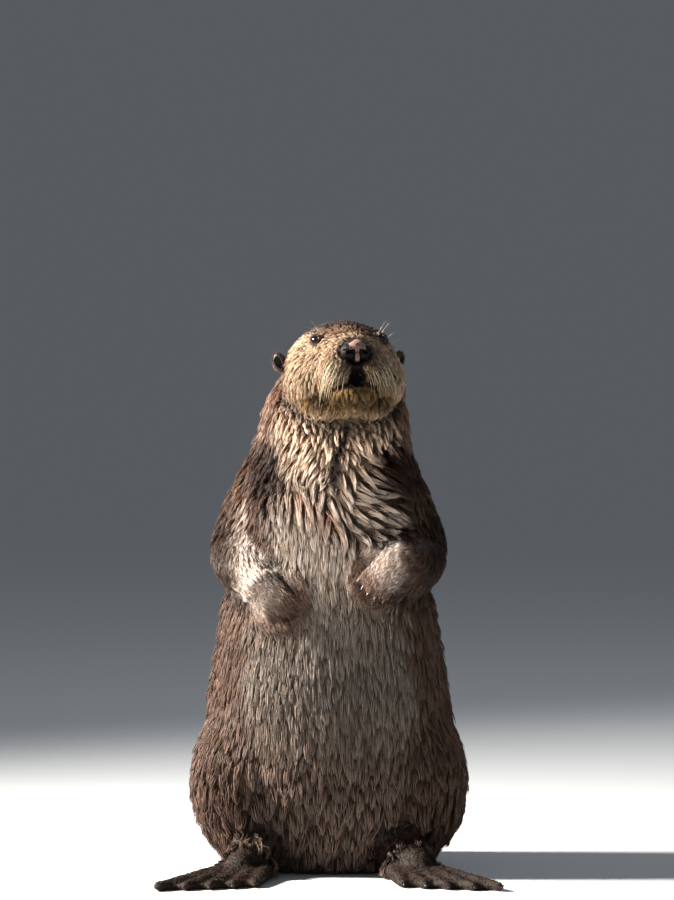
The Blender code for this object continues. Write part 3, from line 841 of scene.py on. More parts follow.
# %% Comb the coat
def turn_about(vectors, axes, angles):
    """Rodrigues' rotation of each vector about its own axis."""
    c, s = np.cos(angles)[:, None], np.sin(angles)[:, None]
    along = np.sum(axes * vectors, axis=1, keepdims=True)
    return vectors * c + np.cross(axes, vectors) * s + axes * along * (1 - c)


def ruffle(at):
    """How disordered the coat is: most on the throat and chest, little elsewhere."""
    chest = masks(at, ("z", 0.39, 0.46)) * masks(at, ("y", 0.0, -0.06)) * (1 - at["head"])
    return (0.20 + 0.65 * chest) * (1 - 0.7 * np.maximum(at["paw"], at["flipper"]))


def comb(points, normals):
    """The direction of the coat along the skin at each point."""
    at = survey(points)
    way = np.tile(DOWN, (len(points), 1))
    slant = mix(0.18, 1.05, masks(at, ("x", 0.0, 0.055)))
    slant += 1.2 * masks(at, ("x", 0.020, 0.060)) * masks(at, ("z", 0.490, 0.455))
    way[:, 0] += slant * masks(at, ("z", 0.40, 0.44), ("z", 0.54, 0.50), ("y", 0.0, -0.05))
    ankle = np.hypot(at["out"] - ANKLE.x, at["y"] - ANKLE.y)
    way = tint(way, (0.0, -1.0, -0.4), soft(0.060, 0.025, ankle) * masks(at, ("z", 0.10, 0.05)) * 0.8)
    way = tint(way, (0.0, 1.0, -0.35), masks(at, ("z", 0.20, 0.06), ("y", 0.06, 0.13)))
    from_nose = unit(points - np.array(head_point(0, 0.125, 0.004)))
    falling = masks(at, ("up", 0.010, -0.030), ("forward", -0.03, 0.03))
    hanging = np.array(DOWN) + np.sign(at["sideways"])[:, None] * HEAD_AXES[:, 0] * 0.25
    way = tint(way, tint(from_nose, hanging, falling * 0.75), at["head"])
    for side, rows in ARMS.items():
        gap, place, direction = along_limb(points, rows)
        direction = tint(direction, DOWN, 0.7 * soft(len(rows) - 1.0, len(rows) - 1.6, place))
        way = tint(way, direction, at["arm"] * soft(0.012, 0.002, gap))
        own = (np.sign(at["x"]) == SIDES[side]) | (at["paw"] < 0.5)
        way = tint(way, np.array(PAW_AIMS[side].normalized()), at["paw"] * own)
    way = tint(way, (0.0, -1.0, -0.1), at["flipper"])
    way = tint(way, (-0.10, 1.0, -0.05), at["tail"])
    for side in EYES:
        rays, reach, _ = off_gaze(points, side)
        way = tint(way, unit(rays), soft(0.021, 0.012, reach) * 0.75)
    way = unit(way - normals * np.sum(way * normals, axis=1, keepdims=True))
    swirl = ripple(points, 0.050, 5.5) * 0.75 + ripple(points, 0.020, 2.2) * 0.35
    return turn_about(way, normals, swirl * ruffle(at))


print("a stray comb of the crown:", comb(skin_points[:1], point_normals(skin)[:1]).round(2)[0])

# %% [markdown]
# ## How the coat is cut
# Length, lock size, thickness and how far the tips stand off the skin differ from place to place.
# A table of named cuts says what each region needs, and a list of masks spreads them over the body,
# later ones over earlier ones.

# %% Cut the coat
CUTS = {  # length of a tuft, distance of the locks, tufts in a lock, a tuft's width, lift, gathering
    "back": (0.030, 0.0100, 11, 0.0016, 0.0080, 0.85),
    "belly": (0.028, 0.0068, 13, 0.0010, 0.0015, 0.62),
    "chest": (0.035, 0.0104, 27, 0.0011, 0.0122, 0.98),
    "neck": (0.030, 0.0076, 14, 0.0011, 0.0068, 0.90),
    "arm": (0.022, 0.0064, 11, 0.0010, 0.0048, 0.90),
    "forearm": (0.020, 0.0049, 9, 0.0009, 0.0016, 0.45),
    "crown": (0.0125, 0.0044, 12, 0.0008, 0.0034, 0.60),
    "cheek": (0.0175, 0.0046, 14, 0.00065, 0.0044, 0.88),
    "jaw": (0.0115, 0.0036, 10, 0.0007, 0.0024, 0.55),
    "fringe": (0.022, 0.0054, 14, 0.0007, 0.0064, 1.00),
    "throat": (0.027, 0.0064, 13, 0.0009, 0.0062, 0.95),
    "collar": (0.022, 0.0056, 14, 0.0009, 0.0105, 1.00),
    "ruff": (0.030, 0.0068, 15, 0.0011, 0.0078, 0.85),
    "muzzle": (0.0065, 0.0028, 7, 0.0006, 0.0018, 0.55),
    "tail": (0.018, 0.0076, 9, 0.0014, 0.0035, 0.75),
    "paw": (0.0085, 0.0041, 8, 0.0007, 0.0010, 0.40),
    "foot": (0.0050, 0.0043, 5, 0.0008, 0.0010, 0.40),
}

CUT_RULES = (  # cut, strength, masks
    ("belly", 0.9, ("facing",), ("z", 0.06, 0.20)),
    ("neck", 1, ("z", 0.46, 0.50)),
    ("chest", 1, ("facing",), ("over_belly", -0.018, 0.018), ("out", 0.10, 0.075)),
    ("throat", 1, ("facing",), ("over_belly", -0.018, 0.018), ("z", 0.470, 0.490), ("x", 0.020, -0.005)),
    ("arm", 1, ("arm",)),
    *(("forearm", 1, ("arm",), (f"gap_{side}", 0.010, 0.003), (f"place_{side}", 1.7, 2.3))
      for side in ARMS),
    ("crown", 1, ("head",)),
    ("cheek", 1, ("up", 0.016, 0.004), ("forward", -0.035, 0.00), ("head",)),
    ("jaw", 1, ("up", -0.046, -0.060), ("forward", 0.100, 0.075), ("head",)),
    ("fringe", 1, ("across", 0.010, 0.024), ("up", -0.056, -0.068), ("forward", 0.092, 0.074),
     ("forward", -0.050, -0.020), ("head",)),
    ("collar", 1, ("from_jaw", 0.0, -0.008), ("from_jaw", -0.045, -0.030), ("y", -0.02, -0.05),
     ("z", 0.40, 0.50)),
    ("ruff", 1, ("out", 0.044, 0.056), ("z", 0.540, 0.556), ("z", 0.618, 0.600), ("forward", 0.030, 0.005)),
    ("muzzle", 1, ("short",), ("head",)),
    ("tail", 1, ("tail",)),
    ("paw", 1, ("paw",)),
    ("foot", 1, ("flipper",)),
)


def coat_cut(points):
    """The six numbers of the cut at each point."""
    at = survey(points)
    at["facing"] = masks(at, ("y", 0.02, -0.05))
    at["over_belly"] = at["z"] - np.interp(at["x"], (-0.02, 0.03), (0.445, 0.400))
    near_eye = soft(0.022, 0.012, np.min([distance(points, c) for c in EYES.values()], axis=0))
    at["short"] = np.maximum(masks(at, ("forward", 0.084, 0.104), ("up", -0.064, -0.052)), near_eye)
    cut = paint(CUTS["back"], at, ((CUTS[name], *row) for name, *row in CUT_RULES))
    cut[:, [0, 4]] *= ((1 - 0.55 * folds_at(points)) * (1 - 0.6 * shaded_parting(at)))[:, None]
    return cut


def bare(points):
    """Where no tuft grows: the eye openings, nose, mouth and groove, and what lies on the floor."""
    at = survey(points)
    eyes = np.zeros(len(points), bool)
    for side in EYES:
        _, reach, angle = off_gaze(points, side)
        eyes |= (angle < EYE_OPENING + 0.24) & (reach < EYE_RADIUS * 1.6)
    nose = distance(points, head_point(*NOSE_PLACE)) < 0.0185
    mouth = np.sqrt((at["sideways"] / 0.0095)**2 + ((at["up"] - MOUTH_PLACE[2]) / 0.0125)**2)
    groove = (at["across"] < 0.0062) & (at["up"] < -0.018) & (at["up"] > -0.060)
    return eyes | nose | (at["forward"] > 0.085) & ((mouth < 1.0) | groove) | (at["z"] < 0.0025)


# Underwool between standing locks gets less light than under a flat coat.
daylight = mix(0.50, 0.22, soft(0.002, 0.011, coat_cut(skin_points)[:, 4]))
daylight = np.where(bare(skin_points), 0.9, daylight * (1 - 0.6 * shaded_parting(survey(skin_points))))
store_number(skin.data, "daylight", daylight)
print("cuts:", ", ".join(CUTS))

# %% [markdown]
# ## Where the locks are rooted
# Random points alone leave bald spots and crowds. So many more points than needed are scattered over
# the skin, more densely where locks are small. One after the other is then kept only if no kept one is
# nearer than the locks' distance there. A grid of small cells makes the search quick.

# %% Root the locks
SCATTERED = 80000


def scatter(count):
    a, b, c = (skin_points[corners[:, k]] for k in range(3))
    area = np.linalg.norm(np.cross(b - a, c - a), axis=1) / 2
    weight = area / coat_cut((a + b + c) / 3)[:, 1]**2
    chosen = rng.choice(len(corners), count, p=weight / weight.sum())
    u, v = rng.random((2, count))
    flip = u + v > 1
    u[flip], v[flip] = 1 - u[flip], 1 - v[flip]
    return a[chosen] + (b - a)[chosen] * u[:, None] + (c - a)[chosen] * v[:, None]


def thin_out(points, distance):
    """Indices of points that keep their distance from each other."""
    cell = float(distance.max())
    grid, kept = {}, []
    keys = np.floor(points / cell).astype(int)
    around = [(i, j, k) for i in (-1, 0, 1) for j in (-1, 0, 1) for k in (-1, 0, 1)]
    rows, reach = points.tolist(), (distance**2).tolist()
    for n, (i, j, k) in enumerate(keys.tolist()):
        x, y, z = rows[n]
        clear = True
        for a, b, c in around:
            for px, py, pz in grid.get((i + a, j + b, k + c), ()):
                if (px - x)**2 + (py - y)**2 + (pz - z)**2 < reach[n]:
                    clear = False
                    break
            if not clear:
                break
        if clear:
            kept.append(n)
            grid.setdefault((i, j, k), []).append((x, y, z))
    return np.array(kept)


spots = scatter(SCATTERED)
spots = spots[~bare(spots)]
apart = coat_cut(spots)[:, 1] * (0.78 + 0.44 * rng.random(len(spots)))
locks = spots[thin_out(spots, apart)]
lock_cut = coat_cut(locks)
lock_cut[:, 0] *= 0.80 + 0.45 * rng.random(len(locks))
lock_cut[:, 5] *= 0.75 + 0.25 * rng.random(len(locks))
print("locks:", len(locks), "tufts wanted:", int(lock_cut[:, 2].sum()))

# %% [markdown]
# ## Growing the tufts
# Each lock has a guide that walks over the skin in three strides, following the comb, while it rises
# and falls by its lift. Where the skin turns away faster than hair would bend, as under the jaw, the
# guide hangs free. A lock's tufts start around its root and close in on the guide towards the tip.
# That is what makes wet fur: points with dark gaps between them. Each tuft is a closed three-sided
# blade of ten points. Thinner hair curves would render well, but only solid mesh can be exported.

# %% Grow the guides
TIMES = np.array([0.0, 0.33, 0.70, 1.0])
GROUP = 2.3  # distance of the groups' leaders, in distances of the locks
TUFT_TRIANGLES = 16


def grow_guides(roots, cut):
    """Places on the skin and directions off it at the four times, lock by lock."""
    place, up, _ = nearest(skin_tree, roots)
    way = comb(place, up)
    places, ups = [place], [up]
    length = cut[:, 0] * (0.85 + 0.30 * rng.random(len(roots)))
    for share in np.diff(TIMES):
        stride = length * share
        ahead = place + way * stride[:, None]
        found, turned, _ = nearest(skin_tree, ahead)
        follow = soft(0.95, 0.45, np.linalg.norm(found - ahead, axis=1) / stride)
        after = tint(ahead + (0, 0, -0.0008), found, follow)
        up = unit(tint(up, turned, follow * 0.8 + 0.1))
        way = unit(after - place)
        way = unit(way - up * np.sum(way * up, axis=1, keepdims=True))
        place = after
        places.append(place)
        ups.append(up)
    return np.stack(places, 1), np.stack(ups, 1)


guides, guide_ups = grow_guides(locks, lock_cut)

# Wet locks also stick to their neighbours: each leans towards the leader of its group.
leaders = thin_out(locks, lock_cut[:, 1] * GROUP)
leader_tree = KDTree(len(leaders))
for number, place in enumerate(locks[leaders]):
    leader_tree.insert(Vector(place), number)
leader_tree.balance()
leader = leaders[[leader_tree.find(Vector(place))[1] for place in locks]]
cling = soft(0.003, 0.012, lock_cut[:, 4]) * 0.35 + 0.20
pull = cling[:, None] * TIMES[None, :]**1.4
towards_leader = guides[leader] - guides
near_enough = soft(0.035, 0.020, np.linalg.norm(towards_leader, axis=2))
guides += towards_leader * (pull * near_enough)[..., None]
lift = lock_cut[:, 4] * (0.7 + 0.6 * rng.random(len(locks)))
print("guides:", guides.shape)


# %% Grow the tufts
def lift_profile(times, stands):
    """Height over the skin for 1 of lift: tufts that stand keep rising, others lie down again."""
    lying = np.sin(np.pi * times**0.8 * 0.80)
    standing = np.sin(np.pi * 0.5 * times**0.9)
    return lying * (1 - stands) + standing * stands


def follow_guide(lines, times):
    """Points at those times, from 0 to 1, on polylines given at TIMES."""
    k = np.clip(np.searchsorted(TIMES, times, side="right") - 1, 0, 2)
    part = (times - TIMES[k]) / (TIMES[k + 1] - TIMES[k])
    rows = np.arange(len(lines))[:, None]
    return lines[rows, k] * (1 - part[..., None]) + lines[rows, k + 1] * part[..., None]


def grow_tufts():
    """The coat's arrays, one row for each tuft: lock, width, root, four ring centres and up directions."""
    counts = np.maximum(2, np.round(lock_cut[:, 2] * (0.8 + 0.4 * rng.random(len(locks)))).astype(int))
    owner = np.repeat(np.arange(len(locks)), counts)
    cut = lock_cut[owner]
    radius = cut[:, 1] * 0.62 * np.sqrt(rng.random(len(owner)))
    angle = rng.random(len(owner)) * 2 * np.pi
    up = guide_ups[owner, 0]
    side = unit(np.cross(up, guides[owner, 1] - guides[owner, 0]))
    fore = np.cross(side, up)
    sideways = side * np.cos(angle)[:, None] + fore * np.sin(angle)[:, None]
    root, root_up, _ = nearest(skin_tree, guides[owner, 0] + sideways * radius[:, None])
    reach = 1 - 0.28 * radius / radius.max() - 0.16 * rng.random(len(owner))
    times = TIMES[None, :] * reach[:, None]
    line = follow_guide(guides[owner], times)
    ups = unit(follow_guide(guide_ups[owner], times))
    stands = soft(0.0075, 0.0110, cut[:, 4])[:, None]
    gather = cut[:, 5][:, None] * TIMES[None, :]**mix(1.7, 1.0, stands)
    offset = (root - guides[owner, 0])[:, None, :] * (1 - gather)[..., None]
    height = lift[owner][:, None] * (0.65 + 0.5 * rng.random((len(owner), 1)))
    height = height * lift_profile(times, stands)
    stray = rng.normal(0, 1, (len(owner), 1, 3)) * (cut[:, 0] * 0.022)[:, None, None]
    centre = line + offset + ups * height[..., None] + stray * TIMES[None, :, None]**1.5
    centre[:, 0] = root - root_up * 0.0006
    return {"owner": owner, "width": cut[:, 3], "root": root, "centre": centre, "up": ups}


coat = grow_tufts()
print("tufts:", len(coat["owner"]), "triangles:", len(coat["owner"]) * TUFT_TRIANGLES)

# %% [markdown]
# ## A patch for each tuft on the skin's chart
# When the coat's colours are baked to an image for other programs, each tuft needs its own small patch.
# The skin's shape is unwrapped flat, and a tuft's patch lies where its root is on that chart. So tufts
# that grow side by side stay side by side, and colours that bleed over a patch's edge belong there.
# A lighter copy of the skin is unwrapped, as that takes seconds instead of minutes.

# %% Chart the skin
CHART_FACES = 7000
ISLAND_ANGLE = math.radians(66)
ISLAND_MARGIN = 0.002
PATCH = 0.003


def chart_skin():
    """Triangles (n, 3, 3) of a light copy of the skin and their places (n, 3, 2) on a flat chart."""
    light = new_object("chart", skin.data.copy())
    modifier = light.modifiers.new("lighten", "DECIMATE")
    modifier.ratio = CHART_FACES / len(corners)
    applied(light)
    bpy.ops.object.select_all(action="DESELECT")
    light.select_set(True)
    bpy.context.view_layer.objects.active = light
    bpy.ops.object.mode_set(mode="EDIT")
    bpy.ops.mesh.select_all(action="SELECT")
    bpy.ops.uv.smart_project(angle_limit=ISLAND_ANGLE, island_margin=ISLAND_MARGIN)
    bpy.ops.object.mode_set(mode="OBJECT")
    light.data.calc_loop_triangles()
    triangles = light.data.loop_triangles
    vertices, loops = (np.array([getattr(t, name)[:] for t in triangles]) for name in ("vertices", "loops"))
    flat = np.empty(len(light.data.loops) * 2, np.float32)
    light.data.uv_layers.active.uv.foreach_get("vector", flat)
    spots, places = coordinates(light)[vertices], flat.reshape(-1, 2)[loops]
    bpy.data.objects.remove(light, do_unlink=True)
    return spots, places


def chart_places(points):
    """Where each point is on the chart."""
    spots, places = chart_skin()
    tree = BVHTree.FromPolygons(spots.reshape(-1, 3).tolist(),
                                np.arange(len(spots) * 3).reshape(-1, 3).tolist())
    near, _, which = nearest(tree, points)
    a, b, c = (spots[which, k] for k in range(3))
    whole = np.cross(b - a, c - a)
    size = np.maximum(np.sum(whole * whole, axis=1), 1e-18)
    second = np.sum(np.cross(near - a, c - a) * whole, axis=1) / size
    third = np.sum(np.cross(b - a, near - a) * whole, axis=1) / size
    share = np.stack([1 - second - third, second, third], 1)
    return np.sum(places[which] * np.clip(share, 0, 1)[..., None], axis=1)


coat["chart"] = chart_places(coat["root"])
print("chart spans", coat["chart"].min(0).round(3), coat["chart"].max(0).round(3))

# %% [markdown]
# ## From tufts to mesh
# Every tuft has the same ten points and the same faces, so the whole coat can be written with a few
# array operations. Three rings of three points taper to a tip, and a cap closes the root inside the
# skin. The tuft's colour comes from the markings at its root. Three numbers go with it: how far along
# the tuft a point is, and two random ones by which tufts and locks differ from their neighbours.

# %% Write the coat's mesh
TAPER = np.array([1.0, 0.88, 0.55])
BLADE_FACES = [(0, 1, 4, 3), (1, 2, 5, 4), (2, 0, 3, 5),
               (3, 4, 7, 6), (4, 5, 8, 7), (5, 3, 6, 8),
               (6, 7, 9), (7, 8, 9), (8, 6, 9), (2, 1, 0)]
BLADE_ALONG = np.repeat(TIMES, (3, 3, 3, 1))
BLADE_ACROSS = np.array([0, 1, 0.5] * 3 + [0.5])
BLADE_POINTS = len(BLADE_ALONG)
TUFTS_PER_PIECE = 12000
GROUND = 0.0004
coat["tuft_colour"] = coat_colours(coat["root"])


def hash_numbers(index, seed):
    """The same numbers from 0 to 1 for the same tufts each time."""
    value = np.sin(index * 12.9898 + seed * 78.233) * 43758.5453
    return value - np.floor(value)


def blade_points(which):
    """The ten points of each chosen tuft."""
    centre = coat["centre"][which]
    width = coat["width"][which] * (0.75 + 0.5 * hash_numbers(which, 1))
    along = unit(np.gradient(centre, axis=1))
    side = unit(np.cross(along, coat["up"][which]))
    roll = (hash_numbers(which, 2) - 0.5)[:, None, None] * 1.4
    top = np.cross(side, along)
    side, top = side * np.cos(roll) + top * np.sin(roll), top * np.cos(roll) - side * np.sin(roll)
    half = (width / 2)[:, None, None] * TAPER[None, :, None]
    centre, tip, side, top = centre[:, :3], centre[:, 3:], side[:, :3] * half, top[:, :3] * half
    rings = np.stack([centre - side - top * 0.35, centre + side - top * 0.35, centre + top * 0.75], 2)
    points = np.concatenate([rings.reshape(len(which), 9, 3), tip], 1)
    points[..., 2] = np.maximum(points[..., 2], GROUND)
    return points


def coat_piece(name, which, slot_name, material):
    points = blade_points(which).reshape(-1, 3)
    pattern = np.concatenate(BLADE_FACES)
    loops = (pattern[None] + np.arange(len(which))[:, None] * BLADE_POINTS).ravel()
    sizes = np.tile([len(face) for face in BLADE_FACES], len(which))
    starts = np.concatenate([[0], np.cumsum(sizes)[:-1]])
    mesh = bpy.data.meshes.new(name)
    for rows, key, values in ((mesh.vertices, "co", points.astype(np.float32)),
                              (mesh.loops, "vertex_index", loops.astype(np.int32)),
                              (mesh.polygons, "loop_start", starts.astype(np.int32))):
        rows.add(len(values))
        rows.foreach_set(key, values.ravel())
    mesh.update(calc_edges=True)
    mesh.shade_smooth()
    store_colour(mesh, "coat_colour", np.repeat(coat["tuft_colour"][which], BLADE_POINTS, axis=0))
    store_number(mesh, "along", np.tile(BLADE_ALONG, len(which)))
    store_number(mesh, "tuft", np.repeat(hash_numbers(which, 3), BLADE_POINTS))
    store_number(mesh, "lock", np.repeat(hash_numbers(coat["owner"][which], 4), BLADE_POINTS))
    patch = (np.stack([BLADE_ACROSS, BLADE_ALONG], 1) - 0.5) * PATCH
    chart = np.repeat(coat["chart"][which], BLADE_POINTS, axis=0) + np.tile(patch, (len(which), 1))
    layer = mesh.uv_layers.new(name="OFBake")
    layer.uv.foreach_set("vector", np.clip(chart, 0, 1)[loops].astype(np.float32).ravel())
    mesh.materials.append(material)
    obj = new_object(name, mesh)
    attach(obj, "root")


print("blades of", BLADE_POINTS, "points and", len(BLADE_FACES), "faces")

# %% [markdown]
# ## The coat's finish
# A wet guard hair is dark where it leaves the wool and paler towards its tip, and it glints. The root's
# darkening is partly the wet hair's own tone and partly painted shade, where the root lies deep among
# the other tufts. The finish multiplies the marking by a ramp along the tuft and by the tuft's and the
# lock's own number, so that neighbours differ. A little warm sheen would look dry; a lower roughness
# towards the tip looks wet.

# %% Finish the coat
def coat_finish(name, root_tint_and_shade, tip_tint, root_rough, tip_rough):
    hair = Finish(name, {"Specular IOR Level": 0.14})
    coat_colour, along = hair.attribute("coat_colour", "Color"), hair.attribute("along")
    # The darker root tint is partly painted shade deep in the coat.
    shade = hair.mixed(along, hair.tinted(coat_colour, root_tint_and_shade), hair.tinted(coat_colour, tip_tint))
    differs = hair.math("MULTIPLY", hair.ranged(hair.attribute("tuft"), 0.64, 1.26),
                        hair.ranged(hair.attribute("lock"), 0.74, 1.20))
    hair.plug({"Base Color": hair.scaled(shade, differs),
               "Roughness": hair.ranged(along, root_rough, tip_rough)})
    hair.bump(hair.noise(900.0, 3.0, (1.0, 1.0, 0.22)), 0.35, 0.0005)
    return hair.material


body_finish = coat_finish("wet_body_coat", (0.46, 0.34, 0.27), (1.22, 1.22, 1.22), 0.55, 0.32)
face_finish = coat_finish("damp_face_coat", (0.52, 0.40, 0.30), (1.25, 1.25, 1.25), 0.60, 0.42)
tuft_at = survey(coat["root"])
on_face = tuft_at["head"] > 0.5
on_foot = np.maximum(tuft_at["paw"], tuft_at["flipper"]) > 0.5
for label, chosen, slot_name, material in (
        ("face_coat", on_face, "face_coat", face_finish),
        ("foot_coat", on_foot & ~on_face, "flipper", body_finish),
        ("body_coat", ~on_face & ~on_foot, "body_coat", body_finish)):
    index = np.flatnonzero(chosen)
    index = index[np.argsort(-coat["root"][index, 2], kind="stable")]
    for number, part in enumerate(np.array_split(index, max(1, math.ceil(len(index) / TUFTS_PER_PIECE)))):
        coat_piece(f"{label}_{number + 1}", part, slot_name, material)
    print(label, len(index), "tufts")

# %% [markdown]
# ## Eyes
# A sea otter's eye is small, round and almost wholly dark: a brown iris round a black pupil, with next
# to no white. It is a ball with a low bulge for the cornea. The ball faces outwards and forwards. Its
# finish reads how far a point lies from the middle of the gaze and mixes black, brown and dark rim.

# %% Make the eyes
AHEAD = Vector((0, 0, 1))  # a ball is made looking up and then turned to its gaze
CORNEA = math.radians(48)


def make_ball():
    """A ball round the origin that looks along +Z, with the cornea's bulge there."""
    bm = bmesh.new()
    bmesh.ops.create_uvsphere(bm, u_segments=40, v_segments=28, radius=EYE_RADIUS * 0.985)
    for vert in bm.verts:
        bulge = max(0.0, 1 - (vert.co.angle(AHEAD) / CORNEA)**2)
        vert.co *= 1 + 0.07 * bulge**1.5
    return bm


def eye_finish():
    eye = Finish("dark_eye", {"Roughness": 0.06, "IOR": 1.38, "Coat Weight": 0.60, "Coat Roughness": 0.02})
    off_axis = eye.math("MULTIPLY_ADD", eye.noise(900.0), 0.12, eye.attribute("off_axis"))
    eye.plug({"Base Color": eye.stops(
        off_axis, (0.0, 0.002, 0.002, 0.002), (0.30, 0.003, 0.002, 0.002), (0.36, 0.016, 0.007, 0.004),
        (0.58, 0.026, 0.011, 0.006), (0.72, 0.006, 0.004, 0.003), (1.0, 0.012, 0.008, 0.007))})
    return eye.material


eye_material = eye_finish()
for side, centre in EYES.items():
    bm = make_ball()
    off_axis = [vert.co.angle(AHEAD) / math.radians(80) for vert in bm.verts]
    eye = from_bmesh(bm, f"eyeball_{side}")
    store_number(eye.data, "off_axis", np.clip(off_axis, 0, 1) * 0.94)
    turned = GAZE[side].to_track_quat("Z", "Y").to_matrix().to_4x4()
    eye.data.transform(Matrix.Translation(centre) @ turned)
    eye.data.shade_smooth()
    eye.data.materials.append(eye_material)
    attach(eye, "root")
    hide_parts(f"eye_{side}")
print("eyeballs made")

# %% [markdown]
# ## Lids
# The lids are dark, wet rims that keep to the ball: an almond ring, thicker above than below. A ring of
# small sections is swept round the opening, each lying on the ball's surface. Tufts of the face stop
# just outside it.

# %% Make the lids
LID_WIDE = EYE_OPENING + math.radians(4)
LID_HIGH = EYE_OPENING
LID_SECTIONS = 48


def turns(count):
    return [2 * math.pi * i / count for i in range(count)]


def join_rings(bm, rings):
    """Faces between each ring of points and the next."""
    for first, second in zip(rings, rings[1:]):
        for s in range(len(first)):
            t = (s + 1) % len(first)
            bm.faces.new((first[s], first[t], second[t], second[s]))


def lid_ring(side):
    """A closed ring round the eye's opening; wider than high, its ends drawn to points."""
    sign, centre, gaze = SIDES[side], EYES[side], GAZE[side]
    level = Vector((0, 0, 1)).cross(gaze).normalized() * sign
    above = gaze.cross(level).normalized() * sign
    bm = bmesh.new()
    rings = []
    for turn in turns(LID_SECTIONS):
        high = math.copysign(abs(math.sin(turn))**1.1, math.sin(turn))
        ray = gaze + level * math.tan(LID_WIDE * math.cos(turn)) + above * math.tan(LID_HIGH * high)
        ray.normalize()
        outer = (ray - gaze * ray.dot(gaze)).normalized()
        outward = (outer - ray * outer.dot(ray)).normalized()
        thick = 0.00060 + 0.00020 * high
        middle = centre + ray * EYE_RADIUS * 1.045
        rings.append([bm.verts.new(middle + outward * math.cos(a) * thick * 1.5 + ray * math.sin(a) * thick)
                      for a in turns(8)])
    join_rings(bm, [*rings, rings[0]])
    bmesh.ops.recalc_face_normals(bm, faces=bm.faces)
    lid = from_bmesh(bm, f"lid_{side}")
    lid.data.shade_smooth()
    return lid


def rim_finish(name, colour, roughness, grain, specular=0.5):
    """Bare skin, horn or a thick hair, with a fine grain in shade and surface."""
    rim = Finish(name, {"Roughness": roughness, "Specular IOR Level": specular})
    grain = rim.noise(grain)
    dark, light = (c * 0.6 for c in colour), (min(1, c * 1.6) for c in colour)
    rim.plug({"Base Color": rim.stops(grain, (0.35, *dark), (0.65, *light))})
    rim.bump(grain, 0.4, 0.0004)
    return rim.material


lid_material = rim_finish("dark_lid", (0.014, 0.009, 0.007), 0.55, 1400.0, 0.12)
for side in SIDES:
    lid = lid_ring(side)
    lid.data.materials.append(lid_material)
    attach(lid, "root")
print("lids made")

# %% [markdown]
# ## Nose
# The pad is broad and diamond-shaped, black, with a comma of a nostril on each side. Many sea otters
# rub or bite it, and the scar heals pink; this one has a pink bar with a stem down between the
# nostrils. The pad is melted together from a few rounded forms at a fine voxel, the nostrils are cut
# as curled hollows, and the pink is a mask of soft bars.

# %% Make the nose
NOSE_VOXEL = 0.0007


def add_ellipsoid(bm, centre, radii, frame=Matrix(), segments=32):
    made = bmesh.ops.create_uvsphere(bm, u_segments=segments, v_segments=segments // 2, radius=1.0)
    shape = frame @ Matrix.Translation(centre) @ Matrix.Diagonal((*radii, 1.0))
    bmesh.ops.transform(bm, matrix=shape, verts=made["verts"])


def melt(bm, name, voxel, smoothing):
    return remesh(from_bmesh(bm, name), voxel, smoothing)


def local_place(obj, frame, size):
    """Sideways, ahead and up in a frame and in units of size, for each point of obj."""
    inverse = frame.inverted()
    local = coordinates(obj) @ np.array(inverse.to_3x3()).T + np.array(inverse.translation)
    return local[:, 0] / size, -local[:, 1] / size, local[:, 2] / size


def make_nose():
    frame = head_frame @ Matrix.Translation(on_head(*NOSE_PLACE))
    wide = NOSE_HALF_WIDTH
    bm = bmesh.new()
    add_ellipsoid(bm, (0, 0.004, 0.0035), (wide * 0.84, wide * 0.66, wide * 0.58), frame)
    for sign in (-1, 1):
        add_ellipsoid(bm, (sign * wide * 0.50, 0.003, -0.0015),
                      (wide * 0.50, wide * 0.62, wide * 0.54), frame)
    add_ellipsoid(bm, (0, 0.003, -wide * 0.42), (wide * 0.34, wide * 0.58, wide * 0.42), frame)
    nose = melt(bm, "nose_pad", NOSE_VOXEL, 8)
    sideways, ahead, up = local_place(nose, frame, wide)
    across = np.abs(sideways)
    curl = np.hypot((across - 0.50) / 0.22, (up + 0.20 + 0.25 * (across - 0.5)) / 0.15)
    slit = np.hypot((across - 0.78) / 0.20, (up + 0.06) / 0.055)
    hollow = np.maximum(soft(1.15, 0.55, curl), 0.7 * soft(1.2, 0.4, slit)) * soft(0.1, 0.35, ahead)
    cleft = soft(0.07, 0.0, across) * soft(-0.25, -0.50, up) * soft(0.1, 0.35, ahead)
    sunk = (hollow * 0.0042 + cleft * 0.0010)[:, None]
    set_coordinates(nose, coordinates(nose) - point_normals(nose) * sunk)
    bar = soft(0.60, 0.48, across) * soft(0.17, 0.09, np.abs(up - 0.12 + 0.30 * across**2))
    stem = soft(0.17, 0.10, across) * soft(0.30, 0.20, up) * soft(-0.92, -0.80, up)
    chevron = soft(0.24, 0.14, np.abs(up - 0.52 + 0.74 * across)) * soft(0.56, 0.46, across)
    pink = np.maximum(np.maximum(bar, stem), chevron * 0.85) * soft(0.05, 0.30, ahead) * (1 - hollow)
    store_number(nose.data, "pink", pink)
    nose.data.shade_smooth()
    return nose


def nose_finish():
    pad = Finish("nose_pad", {"Roughness": 0.45, "Specular IOR Level": 0.13})
    place = pad.place()
    pebble = pad.node("TexVoronoi", {"Vector": place, "Scale": 1100.0}).outputs[0]
    edge = pad.node("TexNoise", {"Vector": place, "Scale": 420.0, "Detail": 3.0}).outputs[0]
    broken = pad.math("SUBTRACT", pad.math("MULTIPLY_ADD", edge, 0.9, pad.attribute("pink")), 0.45)
    scar = pad.ranged(broken, 0.0, 1.0, 0.40, 0.70)
    pad.plug({"Base Color": pad.mixed(scar, (0.009, 0.007, 0.007, 1), (0.36, 0.205, 0.175, 1))})
    pad.bump(pebble, 0.8, 0.0005)
    return pad.material


nose = make_nose()
nose.data.materials.clear()
nose.data.materials.append(nose_finish())
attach(nose, "root")
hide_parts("nose")
print("nose:", len(nose.data.polygons), "faces")

